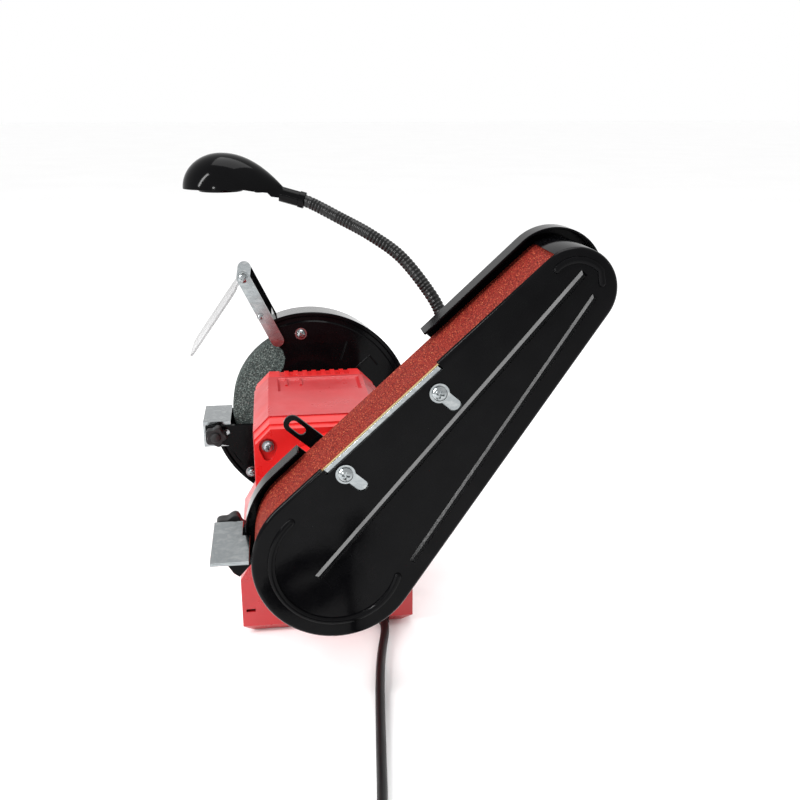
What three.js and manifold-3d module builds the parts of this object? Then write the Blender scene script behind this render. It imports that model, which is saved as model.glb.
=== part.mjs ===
// Bench grinder with a belt sander arm on one shaft end, a grinding wheel on the other and a
// gooseneck lamp. Millimetres, +Z up, motor shaft along X, operator at -Y, origin on the bench.
import * as THREE from "three";
import { mergeVertices } from "three/addons/utils/BufferGeometryUtils.js";
import Module from "manifold-3d";

const wasm = await Module();
wasm.setup();

// ---------------------------------------------------------------- driving dimensions
const GAP = 0.3; // between pieces that touch
const RUN = 0.3; // radial clearance of whatever turns or slides
const SHEET = 1.5; // pressed steel thickness

const SHAFT_Z = 115; // shaft height above the bench
const SHAFT_R = 8;
const SHAFT_BORE = 12; // free hole round the shaft

const BODY_LENGTH = 104; // middle shell of the motor, along X
const BELL_LENGTH = 25; // each end bell; the base is as long as the whole motor
const MOTOR_HALF_DEPTH = 52;
const BASE_FLARE = 14; // base's foot in front of and behind the motor
const BASE_WALL = 3;
const BASE_SHOULDER_Z = 48; // where the walls start to lean in
const BASE_TOP_Z = 68;
const BASE_EDGE = 8; // bottom edge bevel
const PLATE_T = 1.6; // bottom plate
const SWITCH_Z = 29;

const MOTOR_TOP = 55; // above the shaft
const MOTOR_BEVEL = 12;
const MOTOR_WALL = 3;
const BELL_STEP = 1; // each step of the end bells
const HUB_R = 26;
const NECK_R = 42;
const NECK_LENGTH = 23;
const SPIGOT_R = 30;

const STATOR_R = 46;
const STATOR_BORE = 31;
const STATOR_LENGTH = 46;
const WINDING_T = 2.6;
const ROTOR_R = 27;
const BEARING_R = 20;
const BEARING_WIDTH = 12;
const BEARING_INSET = 10; // bearing behind the joint of shell and bell

const WHEEL_R = 75;
const WHEEL_WIDTH = 20;
const WHEEL_INSET = 11.1; // wheel in from the guard's plate
const FLANGE_R = 27;
const GUARD_ROOM = 19.2; // guard's rim outside the wheel
const GUARD_REACH = 49.5; // motor to the guard's plate
const GUARD_DEPTH = 51.5;
const GUARD_MOUTH_Z = 103; // lower edge of the front opening
const WHEEL_GAP = 2.5; // wheel to rest and to deflector
const LIP_ANGLE = 111.6; // where the guard's rim ends above the wheel
const DEFLECTOR_ANGLE = LIP_ANGLE + 2.4;

const ARM_ANGLE = 49.2; // degrees above the bench, towards the rear
const BELT_WIDTH = 50;
const TRAY_REACH = 51; // motor to the back of the tray
const BELT_INSET = 6; // back of the tray to the belt
const BELT_T = 1;
const DRIVE_R = 50.5; // belt's inner radius there
const IDLER_R = 23.3;
const CENTRES = 225.35; // drive wheel to idler
const TRAY_MARGIN = 6.5; // tray rim outside the belt at the drive wheel
const TRAY_MARGIN_TIP = 8.4; // and at the idler
const TRAY_RIM = 15;
const TRAY_MOUTH = [31, 144]; // open stretch along the arm
const COVER_MARGIN = 0.9; // belt to the inside of the cover's wall
const COVER_T = 1.2;
const COVER_WALL_START = 233; // along the arm, over the idler
const PLATEN_SPAN = [43, 139];
const PLATEN_T = 2;
const SCREW_LOWER = [50.6, 34.7]; // along the arm, out from its middle line
const SCREW_UPPER = [126, 23.3];
const SLOT_TRAVEL = 13;
const SCREW_R = 2.5;
const TRACKING_AT = 196; // along the arm
const TRACKING_KNOB_R = 13;
const AXLE_R = 5;

const SHIELD_PIVOT_Y = -59;
const SHIELD_RISE = 33.8; // pivot above the guard's rim
const SHIELD_ROD_R = 3;
const SHIELD_WIDTH = 70;
const SHIELD_LENGTH = 87;
const SHIELD_T = 2;
const SHIELD_TILT = 35.7; // degrees from hanging straight down
const ARM_FOOT_Y = -30.5;
const ARM_FOOT_RISE = 69; // above the shaft
const SHIELD_TOP = 10.5; // sheet below the pivot, clear of the arms at the low limit
const BAR_WIDTH = 12;
const BAR_T = 2;

const REST_T = 2.2;
const REST_DROP = 25; // flange below the rest's top
const WHEEL_REST_Z = 108;
const WHEEL_REST_WIDTH = 50;
const WHEEL_REST_DEPTH = 26;
const BELT_REST_Z = 118;
const BELT_REST_DEPTH = 20;
const WHEEL_KNOB_OUT = 16; // in front of the wheel
const KNOB_DROP = 11; // below the wheel rest
const WHEEL_KNOB_R = 10;
const BELT_KNOB_OUT = 16.5; // in front of the belt
const BELT_KNOB_DROP = 9;
const BELT_KNOB_R = 12;
const STUD_R = 3;

const NECK_TUBE_R = 5;
const LAMP_LENGTH = 80;
const LAMP_WIDTH = 55;
const LAMP_HEIGHT = 32;

const CORD_R = 3.3;
const CORD_EXIT_Y = 43;
const GLAND_LENGTH = 24;
const COIL_MEAN_R = 36.5;
const PLUG_WIDTH = 25;
const PLUG_LENGTH = 34;
const PLUG_AXIS_Z = 11;
const COIL_TURNS_WIDE = 4;
const COIL_LAYERS = 2;
const COIL_CENTRE = [342, -31.7];

// ---------------------------------------------------------------- worked out from them
const BODY_X = BODY_LENGTH / 2;
const BASE_X = BODY_X + BELL_LENGTH;
const BASE_HALF_DEPTH = MOTOR_HALF_DEPTH + BASE_FLARE;
const BEARING_X = BODY_X + BEARING_INSET; // inner face of each bearing
const TRAY_X = BASE_X + TRAY_REACH; // back face of the tray
const BELT_X = TRAY_X + BELT_INSET; // inner edge of the belt
const GUARD_X = -(BASE_X + GUARD_REACH); // face of the guard towards the motor
const GUARD_R = WHEEL_R + GUARD_ROOM;
const WHEEL_X = GUARD_X - WHEEL_INSET; // face of the wheel towards the motor
const SHIELD_PIVOT = [SHIELD_PIVOT_Y, SHAFT_Z + GUARD_R + SHIELD_RISE]; // Y and Z
const ARM_FOOT = [ARM_FOOT_Y, SHAFT_Z + ARM_FOOT_RISE];
const WHEEL_KNOB = [-(WHEEL_R + WHEEL_KNOB_OUT), WHEEL_REST_Z - KNOB_DROP];
const BELT_KNOB = [-(DRIVE_R + BELT_T + BELT_KNOB_OUT), BELT_REST_Z - BELT_KNOB_DROP];
const MOTOR_TOP_Z = SHAFT_Z + MOTOR_TOP;
const NECK_X = BASE_X + NECK_LENGTH;
const BELT_END = BELT_X + BELT_WIDTH;
const COVER_X = BELT_END + 3; // inner face of the cover
const GUARD_END = GUARD_X - GUARD_DEPTH;
const COIL_HALF_WIDTH = COIL_TURNS_WIDE * (CORD_R + 0.1);
const COIL_HEIGHT = COIL_LAYERS * 2 * CORD_R + 0.4;

// ---------------------------------------------------------------- colours
const finish = (color, roughness, metalness = 0) => ({ color, roughness, metalness });
const RED = finish(0xc4202c, 0.45);
const BLACK_STEEL = finish(0x15161a, 0.3, 0.4);
const BLACK_PLASTIC = finish(0x1a1a1c, 0.5);
const ZINC = finish(0xbfc2c4, 0.35, 0.9);
const STEEL = finish(0x8d9094, 0.4, 0.9);
const COPPER = finish(0xb0673a, 0.5, 0.7);
const ALUMINIUM = finish(0xa9acb0, 0.45, 0.8);
const GRIT = finish(0x7f3a30, 0.95);
const STONE = finish(0x8c9793, 0.95);
const CLEAR = finish(0xe8ecee, 0.1);
const LENS = finish(0xf2f0e6, 0.3);
const CORD_BLACK = finish(0x101012, 0.6);

// ---------------------------------------------------------------- geometry helpers
const X = new THREE.Vector3(1, 0, 0);
const Y = new THREE.Vector3(0, 1, 0);
const Z = new THREE.Vector3(0, 0, 1);
const YZ_PLANE = new THREE.Matrix4().makeBasis(Y, Z, X);
const XZ_PLANE = new THREE.Matrix4().makeBasis(X, Z, Y.clone().negate());
const rad = THREE.MathUtils.degToRad;

const part = new THREE.Group();
const arm = new THREE.Group(); // its own X-Y-Z: world X, along the arm, out of its upper side
arm.position.z = SHAFT_Z;
arm.rotation.x = rad(ARM_ANGLE);
part.add(arm);

function add(name, geometry, look, group = part) {
  const mesh = new THREE.Mesh(geometry, new THREE.MeshStandardMaterial(look));
  mesh.name = name;
  group.add(mesh);
  return mesh;
}

function solidOf(geometry) {
  const bare = geometry.clone();
  bare.deleteAttribute("normal");
  bare.deleteAttribute("uv");
  const merged = mergeVertices(bare, 1e-4);
  return new wasm.Manifold(new wasm.Mesh({
    numProp: 3,
    vertProperties: merged.attributes.position.array,
    triVerts: new Uint32Array(merged.index.array),
  }));
}

function geometryOf(solid) {
  const mesh = solid.getMesh();
  const geometry = new THREE.BufferGeometry();
  geometry.setAttribute("position", new THREE.Float32BufferAttribute(mesh.vertProperties, 3));
  geometry.setIndex(new THREE.BufferAttribute(mesh.triVerts, 1));
  return geometry;
}

const join = (...shapes) => geometryOf(shapes.map(solidOf).reduce((all, next) => all.add(next)));
const cut = (body, ...tools) =>
  geometryOf(tools.map(solidOf).reduce((all, tool) => all.subtract(tool), solidOf(body)));
const common = (a, b) => geometryOf(solidOf(a).intersect(solidOf(b)));

// A flat outline in Y and Z, swept along X.
function alongX(shape, x0, x1, curveSegments = 16) {
  const options = { depth: x1 - x0, bevelEnabled: false, curveSegments };
  return new THREE.ExtrudeGeometry(shape, options).applyMatrix4(YZ_PLANE).translate(x0, 0, 0);
}

// A flat outline in X and Z, swept along Y.
function alongY(shape, y0, y1, curveSegments = 16) {
  const options = { depth: y1 - y0, bevelEnabled: false, curveSegments };
  return new THREE.ExtrudeGeometry(shape, options).applyMatrix4(XZ_PLANE).translate(0, y1, 0);
}

function alongZ(shape, z0, z1, curveSegments = 16) {
  const options = { depth: z1 - z0, bevelEnabled: false, curveSegments };
  return new THREE.ExtrudeGeometry(shape, options).translate(0, 0, z0);
}

function box(x0, x1, y0, y1, z0, z1) {
  return new THREE.BoxGeometry(x1 - x0, y1 - y0, z1 - z0)
    .translate((x0 + x1) / 2, (y0 + y1) / 2, (z0 + z1) / 2);
}

// A round bar along X, centred on a point of Y and Z.
function barX(x0, x1, radius, [y, z] = [0, 0], sides = 24) {
  return new THREE.CylinderGeometry(radius, radius, x1 - x0, sides)
    .rotateZ(-Math.PI / 2).translate((x0 + x1) / 2, y, z);
}

// A closed profile of [x, radius] points, turned about X through a point of Y and Z.
function turned(profile, [y, z] = [0, 0], sides = 32) {
  const points = profile.map(([x, r]) => new THREE.Vector2(r, x));
  const closed = [...points, points[0]];
  if (THREE.ShapeUtils.area(points) < 0) closed.reverse();
  return new THREE.LatheGeometry(closed, sides).rotateZ(-Math.PI / 2).translate(0, y, z);
}

function polygon(points) {
  return new THREE.Shape(points.map(([a, b]) => new THREE.Vector2(a, b)));
}

function circle([a, b], radius) {
  return new THREE.Shape().absarc(a, b, radius, 0, 2 * Math.PI, false);
}

// A slot or bar with round ends between two points.
function capsule([a0, b0], [a1, b1], radius) {
  const turn = Math.atan2(b1 - b0, a1 - a0);
  const quarter = Math.PI / 2;
  return new THREE.Shape()
    .absarc(a0, b0, radius, turn + quarter, turn + 3 * quarter, false)
    .absarc(a1, b1, radius, turn - quarter, turn + quarter, false)
    .closePath();
}

function roundedRect(a0, a1, b0, b1, r) {
  const quarter = Math.PI / 2;
  return new THREE.Shape()
    .absarc(a1 - r, b1 - r, r, 0, quarter, false)
    .absarc(a0 + r, b1 - r, r, quarter, 2 * quarter, false)
    .absarc(a0 + r, b0 + r, r, 2 * quarter, 3 * quarter, false)
    .absarc(a1 - r, b0 + r, r, 3 * quarter, 4 * quarter, false)
    .closePath();
}

function hexagon([a, b], acrossFlats) {
  const corner = acrossFlats / Math.sqrt(3);
  return polygon([0, 1, 2, 3, 4, 5].map((k) => {
    const angle = (k * Math.PI) / 3;
    return [a + corner * Math.cos(angle), b + corner * Math.sin(angle)];
  }));
}

// The taut outline round the drive wheel and the idler: along the arm and out of it.
function beltOutline(driveRadius, idlerRadius) {
  const lean = Math.asin((driveRadius - idlerRadius) / CENTRES);
  const quarter = Math.PI / 2;
  return new THREE.Shape()
    .absarc(0, 0, driveRadius, quarter - lean, 3 * quarter + lean, false)
    .absarc(CENTRES, 0, idlerRadius, lean - quarter, quarter - lean, false)
    .closePath();
}

// How far that outline's upper straight stands out from the arm's middle line.
function outlineHeight(driveRadius, idlerRadius, along) {
  const lean = Math.asin((driveRadius - idlerRadius) / CENTRES);
  return driveRadius / Math.cos(lean) - along * Math.tan(lean);
}

// Steps of each quarter turn of the belt's loop.
const LOOP = 10;

// ---------------------------------------------------------------- base
function baseOutline(inset, floor) {
  const foot = BASE_HALF_DEPTH - inset;
  const top = MOTOR_HALF_DEPTH + 2 - inset;
  const roof = BASE_TOP_Z - inset;
  return polygon([
    [-foot + BASE_EDGE, floor], [foot - BASE_EDGE, floor], [foot, BASE_EDGE], [foot, BASE_SHOULDER_Z],
    [top, roof], [-top, roof], [-foot, BASE_SHOULDER_Z], [-foot, BASE_EDGE],
  ]);
}

function addBase() {
  const ends = polygon([
    [-BASE_X + BASE_EDGE, 0], [BASE_X - BASE_EDGE, 0], [BASE_X, BASE_EDGE], [BASE_X, BASE_TOP_Z + 1],
    [-BASE_X, BASE_TOP_Z + 1], [-BASE_X, BASE_EDGE],
  ]);
  const outside = common(alongX(baseOutline(0, 0), -BASE_X, BASE_X), alongY(ends, -90, 90));
  const inner = BASE_X - BASE_WALL;
  const inside = alongX(baseOutline(BASE_WALL, -1), -inner, inner);
  const wires = alongZ(roundedRect(-30, 30, -20, 20, 8), BASE_TOP_Z - 10, BASE_TOP_Z + 5, 4);
  const cordMouth = barX(BASE_X - 12, BASE_X + 12, CORD_R + 1.8, [CORD_EXIT_Y, CORD_ROUTE[0][2]], 12);
  const switchHole = box(-13, 13, -90, 0, SWITCH_Z - 10, SWITCH_Z + 10);
  add("base_housing", cut(outside, inside, wires, cordMouth, switchHole), RED);

  const plate = alongZ(roundedRect(-inner + 1 + BASE_EDGE / 2, inner - 1 - BASE_EDGE / 2,
    -BASE_HALF_DEPTH + BASE_EDGE + BASE_WALL + GAP, BASE_HALF_DEPTH - BASE_EDGE - BASE_WALL - GAP, 4),
    0, PLATE_T, 4);
  const holes = [-50, 50].flatMap((x) => [-42, 42].map((y) => alongZ(circle([x, y], 3.2), -1, 5, 8)));
  const relief = box(CORD_ROUTE[0][0] - GLAND_LENGTH - 2, BASE_X, CORD_EXIT_Y - 8, CORD_EXIT_Y + 8, -1, 5);
  add("bottom_plate", cut(plate, ...holes, relief), STEEL);

  const front = -BASE_HALF_DEPTH;
  const frame = roundedRect(-16, 16, SWITCH_Z - 13, SWITCH_Z + 13, 2);
  const body = box(-12.6, 12.6, front + 0.5, front + 20, SWITCH_Z - 9.6, SWITCH_Z + 9.6);
  const bezel = alongY(frame, front - 2, front - GAP, 4);
  const stem = box(-12.6, 12.6, front - 1, front + 1, SWITCH_Z - 9.6, SWITCH_Z + 9.6);
  const well = box(-10, 10, front - 5, front + 7, SWITCH_Z - 7.5, SWITCH_Z + 7.5);
  add("switch_frame", cut(join(bezel, stem, body), well), BLACK_PLASTIC);

  const rocker = polygon([
    [front - 1.6, SWITCH_Z - 6.6], [front - 0.2, SWITCH_Z], [front - 3.4, SWITCH_Z + 6.6],
    [front + 2, SWITCH_Z + 6.6], [front + 4.5, SWITCH_Z], [front + 2, SWITCH_Z - 6.6],
  ]);
  add("switch_rocker", alongX(rocker, -9.4, 9.4), BLACK_PLASTIC);

  const can = turned([[-30, 0], [-30, 15], [28, 15], [30, 13], [30, 0]], [26, 22], 20);
  add("capacitor", can, ALUMINIUM);
}

// ---------------------------------------------------------------- motor
function motorOutline(inset) {
  const side = MOTOR_HALF_DEPTH - inset;
  const top = MOTOR_TOP_Z - inset;
  const bevel = MOTOR_BEVEL - inset * 0.4;
  const foot = BASE_TOP_Z + GAP + (inset > BELL_STEP * 2 ? inset : 0);
  return polygon([
    [-side, foot], [side, foot], [side, top - bevel], [side - bevel, top], [bevel - side, top],
    [-side, top - bevel],
  ]);
}

// One end bell, built at +X; side is 1 or -1.
function endBell(side, spigotEnd) {
  const shell = join(
    alongX(motorOutline(BELL_STEP), BODY_X + GAP, BODY_X + 16),
    alongX(motorOutline(BELL_STEP * 2), BODY_X + 15, BASE_X),
  );
  const hollow = alongX(motorOutline(BELL_STEP * 2 + MOTOR_WALL), BODY_X - 1, BASE_X - 5);
  const seat = BEARING_R + GAP;
  const bearingEnd = BEARING_X + BEARING_WIDTH + GAP;
  const hub = turned([
    [BEARING_X - 1, seat], [bearingEnd, seat], [bearingEnd, SHAFT_BORE], [spigotEnd, SHAFT_BORE],
    [spigotEnd, SPIGOT_R],
    [NECK_X, SPIGOT_R], [NECK_X, NECK_R], [BASE_X - 2, NECK_R], [BASE_X - 2, HUB_R],
    [BEARING_X - 1, HUB_R],
  ], [0, SHAFT_Z]);
  const passage = barX(BODY_X, BASE_X + 1, HUB_R - 1, [0, SHAFT_Z], 32);
  return join(cut(shell, hollow, passage), hub).scale(side, 1, 1);
}

// Mirroring turns the faces inside out, so their winding is turned back.
function outwards(geometry) {
  const index = geometry.index.array;
  for (let i = 0; i < index.length; i += 3) [index[i + 1], index[i + 2]] = [index[i + 2], index[i + 1]];
  return geometry;
}

function addMotor() {
  const body = alongX(motorOutline(0), -BODY_X, BODY_X);
  const hollow = alongX(motorOutline(MOTOR_WALL), -BODY_X - 1, BODY_X + 1);
  const wires = alongZ(roundedRect(-30, 30, -20, 20, 8), BASE_TOP_Z - 5, BASE_TOP_Z + 8, 4);
  add("motor_body", cut(body, hollow, wires), RED);

  const sleeve = barX(TRAY_X - 2 - GAP, TRAY_X + 3, SPIGOT_R - 6, [0, SHAFT_Z], 32);
  const bore = barX(TRAY_X - 10, TRAY_X + 10, SHAFT_BORE, [0, SHAFT_Z], 32);
  const boss = barX(BASE_X - 3, BASE_X + 9, 13, [3, MOTOR_TOP_Z - 19]);
  const screwAt = [11 - MOTOR_HALF_DEPTH, MOTOR_TOP_Z - 15.4];
  const pilot = barX(BASE_X - 6, BASE_X + 1, SCREW_R, screwAt, 12);
  add("end_bell_right", cut(join(endBell(1, TRAY_X - GAP), boss, sleeve), bore, pilot), RED);
  add("end_bell_left", outwards(endBell(-1, -GUARD_X - GAP)), RED);
  add("end_bell_screw", turned([
    [BASE_X - 4, 0], [BASE_X - 4, SCREW_R - GAP], [BASE_X + GAP, SCREW_R - GAP], [BASE_X + GAP, 4.5],
    [BASE_X + 4, 4.5], [BASE_X + 4, 0],
  ], screwAt, 12), STEEL);

  const half = STATOR_LENGTH / 2;
  const axis = [0, SHAFT_Z];
  const core = barX(-half, half, STATOR_R, axis, 24);
  add("stator_core", cut(core, barX(-half - 1, half + 1, STATOR_BORE, axis, 24)), STEEL);
  const inner = STATOR_BORE - GAP - WINDING_T;
  add("stator_winding", turned([
    [-half - 12, inner], [half + 12, inner], [half + 12, STATOR_R - 5], [half + GAP, STATOR_R - 5],
    [half + GAP, STATOR_BORE - GAP], [-half - GAP, STATOR_BORE - GAP], [-half - GAP, STATOR_R - 5],
    [-half - 12, STATOR_R - 5],
  ], axis, 24), COPPER);

  const rotorBore = SHAFT_R + RUN;
  add("rotor_core", turned([
    [-half, rotorBore], [half, rotorBore], [half, ROTOR_R], [-half, ROTOR_R],
  ], axis, 24), STEEL);
  for (const [name, side] of [["bearing_right", 1], ["bearing_left", -1]]) {
    const ends = [BEARING_X * side, (BEARING_X + BEARING_WIDTH) * side].sort((a, b) => a - b);
    add(name, turned([
      [ends[0], SHAFT_R + RUN], [ends[1], SHAFT_R + RUN], [ends[1], BEARING_R], [ends[0], BEARING_R],
    ], axis, 24), STEEL);
  }
}

// ---------------------------------------------------------------- what turns with the shaft
const SHAFT_END_RIGHT = BELT_END + 1.5;
const SHAFT_END_LEFT = WHEEL_X - WHEEL_WIDTH - 18;

function nut(x0, x1, acrossFlats) {
  return cut(alongX(hexagon([0, SHAFT_Z], acrossFlats), x0, x1),
    barX(x0 - 1, x1 + 1, SHAFT_R + RUN, [0, SHAFT_Z]));
}

function addShaft() {
  const axis = [0, SHAFT_Z];
  const bore = SHAFT_R + RUN;
  add("motor_shaft", barX(SHAFT_END_LEFT, SHAFT_END_RIGHT, SHAFT_R, axis), STEEL);

  const wheelEnd = WHEEL_X - WHEEL_WIDTH;
  add("wheel_flange_inner", turned([
    [WHEEL_X + 6, bore], [WHEEL_X + GAP, bore], [WHEEL_X + GAP, FLANGE_R], [WHEEL_X + 3, FLANGE_R],
    [WHEEL_X + 6, FLANGE_R - 8],
  ], axis), STEEL);
  add("grinding_wheel", turned([
    [wheelEnd, bore], [WHEEL_X, bore], [WHEEL_X, WHEEL_R - 1], [WHEEL_X - 1, WHEEL_R],
    [wheelEnd + 1, WHEEL_R], [wheelEnd, WHEEL_R - 1],
  ], axis, 48), STONE);
  add("wheel_flange_outer", turned([
    [wheelEnd - 6, bore], [wheelEnd - GAP, bore], [wheelEnd - GAP, FLANGE_R], [wheelEnd - 3, FLANGE_R],
    [wheelEnd - 6, FLANGE_R - 8],
  ], axis), STEEL);
  add("wheel_nut", nut(wheelEnd - 13, wheelEnd - 6 - GAP, 24), STEEL);

  const crown = DRIVE_R - RUN;
  const inner = BELT_X + 1.5;
  const outer = BELT_END - 8;
  add("drive_wheel", turned([
    [inner, bore], [outer, bore], [outer, 14], [outer - 12, 18], [outer - 12, crown - 6],
    [BELT_END - 1, crown - 4], [BELT_END - 1, crown - 0.6], [(inner + BELT_END) / 2, crown],
    [inner, crown - 0.6], [inner, crown - 5], [inner + 8, crown - 6], [inner + 8, 18], [inner, 14],
  ], axis, 40), ALUMINIUM);
  add("drive_nut", nut(outer + GAP, outer + 7, 22), STEEL);
}

// ---------------------------------------------------------------- wheel guard, shield and wheel rest
// Everything of the guard that lies in front of this outline is open.
const GUARD_MOUTH = [
  [-GUARD_R - 6, GUARD_MOUTH_Z], [-52, GUARD_MOUTH_Z], [-40, SHAFT_Z + 10], [-34, SHAFT_Z + 30],
  [-24, SHAFT_Z + 45], [-24, SHAFT_Z + 57], [-36, SHAFT_Z + 67], [-36, SHAFT_Z + GUARD_R + 8],
  [-GUARD_R - 6, SHAFT_Z + GUARD_R + 8],
];
const GUARD_SCREWS = { guard_screw_upper: [-8.7, 189.5], guard_screw_lower: [-60, 55] };

function addGuard() {
  const axis = [0, SHAFT_Z];
  const back = GUARD_X - 2;
  const drum = turned([
    [GUARD_X, FLANGE_R + 3], [GUARD_X, GUARD_R], [GUARD_END, GUARD_R], [GUARD_END, GUARD_R - SHEET],
    [back, GUARD_R - SHEET], [back, FLANGE_R + 3],
  ], axis, 48);
  const mouth = alongX(polygon(GUARD_MOUTH), GUARD_END - 5, GUARD_X + 5);
  const screwHoles = Object.values(GUARD_SCREWS).map((at) => barX(GUARD_X - 4, GUARD_X + 4, 2.3, at, 12));
  const hubHole = barX(GUARD_X - 4, GUARD_X + 4, SHAFT_R + 8, axis);
  const hub = barX(back, GUARD_X, FLANGE_R + 4, axis, 32);
  const lip = box(GUARD_END + 8, back + 0.5, -1, 1, GUARD_R - 12, GUARD_R + 3)
    .rotateX(rad(LIP_ANGLE - 90)).translate(0, 0, SHAFT_Z);
  const shell = cut(join(drum, hub), mouth, ...screwHoles, hubHole);
  add("guard_shell", join(shell, lip), BLACK_STEEL);

  const coverX = GUARD_END - GAP;
  const disc = barX(coverX - SHEET, coverX, GUARD_R, axis, 48);
  add("guard_cover", cut(disc, mouth), BLACK_STEEL);

  for (const [name, at] of Object.entries(GUARD_SCREWS)) {
    add(name, turned([
      [GUARD_X - 6, 0], [GUARD_X - 6, 2], [GUARD_X + GAP, 2], [GUARD_X + GAP, 5.5], [GUARD_X + 1.5, 5.5],
      [GUARD_X + 3.5, 4], [GUARD_X + 4.5, 2], [GUARD_X + 4.5, 0],
    ], at, 14), ZINC);
  }

  const deflector = box(GUARD_END + 6, back - 4, -0.8, 0.8, WHEEL_R + WHEEL_GAP, GUARD_R + 6);
  add("spark_deflector", deflector.rotateX(rad(DEFLECTOR_ANGLE - 90)).translate(0, 0, SHAFT_Z),
    BLACK_STEEL);
}

function shieldBar(x0, tab = SHIELD_PIVOT) {
  const bar = join(
    alongX(capsule(ARM_FOOT, SHIELD_PIVOT, BAR_WIDTH / 2), x0, x0 + BAR_T, 8),
    ...(tab === SHIELD_PIVOT ? [] : [alongX(capsule(SHIELD_PIVOT, tab, BAR_WIDTH / 2), x0, x0 + BAR_T, 8)]),
  );
  return cut(bar, barX(x0 - 1, x0 + BAR_T + 1, SHIELD_ROD_R + GAP, SHIELD_PIVOT, 16));
}

function addShield() {
  const near = GUARD_X + GAP;
  const far = GUARD_END - GAP - SHEET - 0.5 - BAR_T;
  const tab = [SHIELD_PIVOT[0] + 1.5, SHIELD_PIVOT[1] + 9];
  add("shield_arm_near", shieldBar(near, tab), ZINC);
  add("shield_arm_far", shieldBar(far), BLACK_STEEL);
  const head = 5.5;
  add("shield_rod", turned([
    [far - 4, 0], [far - 4, head], [far - GAP, head], [far - GAP, SHIELD_ROD_R],
    [near + BAR_T + GAP, SHIELD_ROD_R], [near + BAR_T + GAP, head], [near + BAR_T + 4, head - 1],
    [near + BAR_T + 4, 0],
  ], SHIELD_PIVOT, 16), ZINC);

  const barrelR = SHIELD_ROD_R + RUN + 2.2;
  const barrel = barX(far + BAR_T + GAP, near - GAP, barrelR, [0, 0], 20);
  const middle = WHEEL_X - WHEEL_WIDTH / 2;
  const sheet = alongY(roundedRect(middle - SHIELD_WIDTH / 2, middle + SHIELD_WIDTH / 2,
    -SHIELD_LENGTH, -SHIELD_TOP, 9), -SHIELD_T / 2, SHIELD_T / 2, 6);
  const web = box(far + BAR_T + 2, near - 2, -SHIELD_T / 2, SHIELD_T / 2, -SHIELD_TOP - 1, -3);
  const bore = barX(far - 9, near + 9, SHIELD_ROD_R + RUN, [0, 0], 20);
  const shield = cut(join(barrel, sheet, web), bore).rotateX(rad(-SHIELD_TILT));
  add("eye_shield", shield.translate(0, ...SHIELD_PIVOT), CLEAR);
}

function star(centre, radius) {
  const lobes = 5;
  const points = [];
  for (let k = 0; k < lobes * 6; k += 1) {
    const angle = (k * 2 * Math.PI) / (lobes * 6);
    const r = radius * (0.88 + 0.12 * Math.cos(lobes * angle));
    points.push([centre[0] + r * Math.cos(angle), centre[1] + r * Math.sin(angle)]);
  }
  return polygon(points);
}

// A star knob on a stud along X; its inner face is at x, away is 1 or -1.
function knob(x, away, centre, radius, studEnd) {
  const ends = (a, b) => (a < b ? [a, b] : [b, a]);
  return join(
    alongX(star(centre, radius), ...ends(x + away * 3, x + away * 12)),
    barX(...ends(x, x + away * 4), radius * 0.55, centre, 16),
    barX(...ends(x + away * 11, x + away * 15), radius * 0.5, centre, 16),
    barX(...ends(studEnd, x + away), STUD_R, centre, 12),
  );
}

function addWheelRest() {
  const flangeX = GUARD_X + 0.6; // the flange clears the guard's plate
  const right = -(WHEEL_R + WHEEL_GAP) + 0.4;
  const left = right - WHEEL_REST_DEPTH;
  const end = flangeX + REST_T;
  const plate = box(end - WHEEL_REST_WIDTH, end, left, right, WHEEL_REST_Z - REST_T, WHEEL_REST_Z);
  const flange = box(flangeX, end, left, right, WHEEL_REST_Z - REST_DROP, WHEEL_REST_Z);
  const hole = barX(flangeX - 2, end + 2, STUD_R + RUN, WHEEL_KNOB, 12);
  add("wheel_rest", cut(join(plate, flange), hole), ZINC);

  const bracketX = end + GAP;
  const [knobY, knobZ] = WHEEL_KNOB;
  const side = polygon([
    [knobY - 10, 88], [knobY - 10, 104], [-57, 104], [-54, 98], [-54, 62], [-66, 62], [-80, 84],
  ]);
  const slot = alongX(capsule([knobY - 6, knobZ], [knobY + 9, knobZ], STUD_R + 0.5),
    bracketX - 2, bracketX + 5, 6);
  const foot = box(GUARD_X + GAP, bracketX + 0.5, -62, -54.5, 63, 80);
  add("wheel_rest_bracket", cut(join(alongX(side, bracketX, bracketX + BAR_T), foot), slot), BLACK_STEEL);
  add("wheel_rest_knob", knob(bracketX + BAR_T + GAP, 1, WHEEL_KNOB, WHEEL_KNOB_R, flangeX + 0.2),
    BLACK_PLASTIC);
}

// ---------------------------------------------------------------- belt arm
function armX(shape, x0, x1, segments = LOOP) {
  return alongX(shape, x0, x1, segments);
}

const BELT_OUTER = [DRIVE_R + BELT_T, IDLER_R + BELT_T];
const COVER_INNER = [BELT_OUTER[0] + COVER_MARGIN, BELT_OUTER[1] + COVER_MARGIN];
const COVER_OUTER = [COVER_INNER[0] + COVER_T, COVER_INNER[1] + COVER_T];
const TRAY_OUTER = [BELT_OUTER[0] + TRAY_MARGIN, BELT_OUTER[1] + TRAY_MARGIN_TIP];
const TRAY_INNER = [TRAY_OUTER[0] - SHEET, TRAY_OUTER[1] - SHEET];

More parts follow.
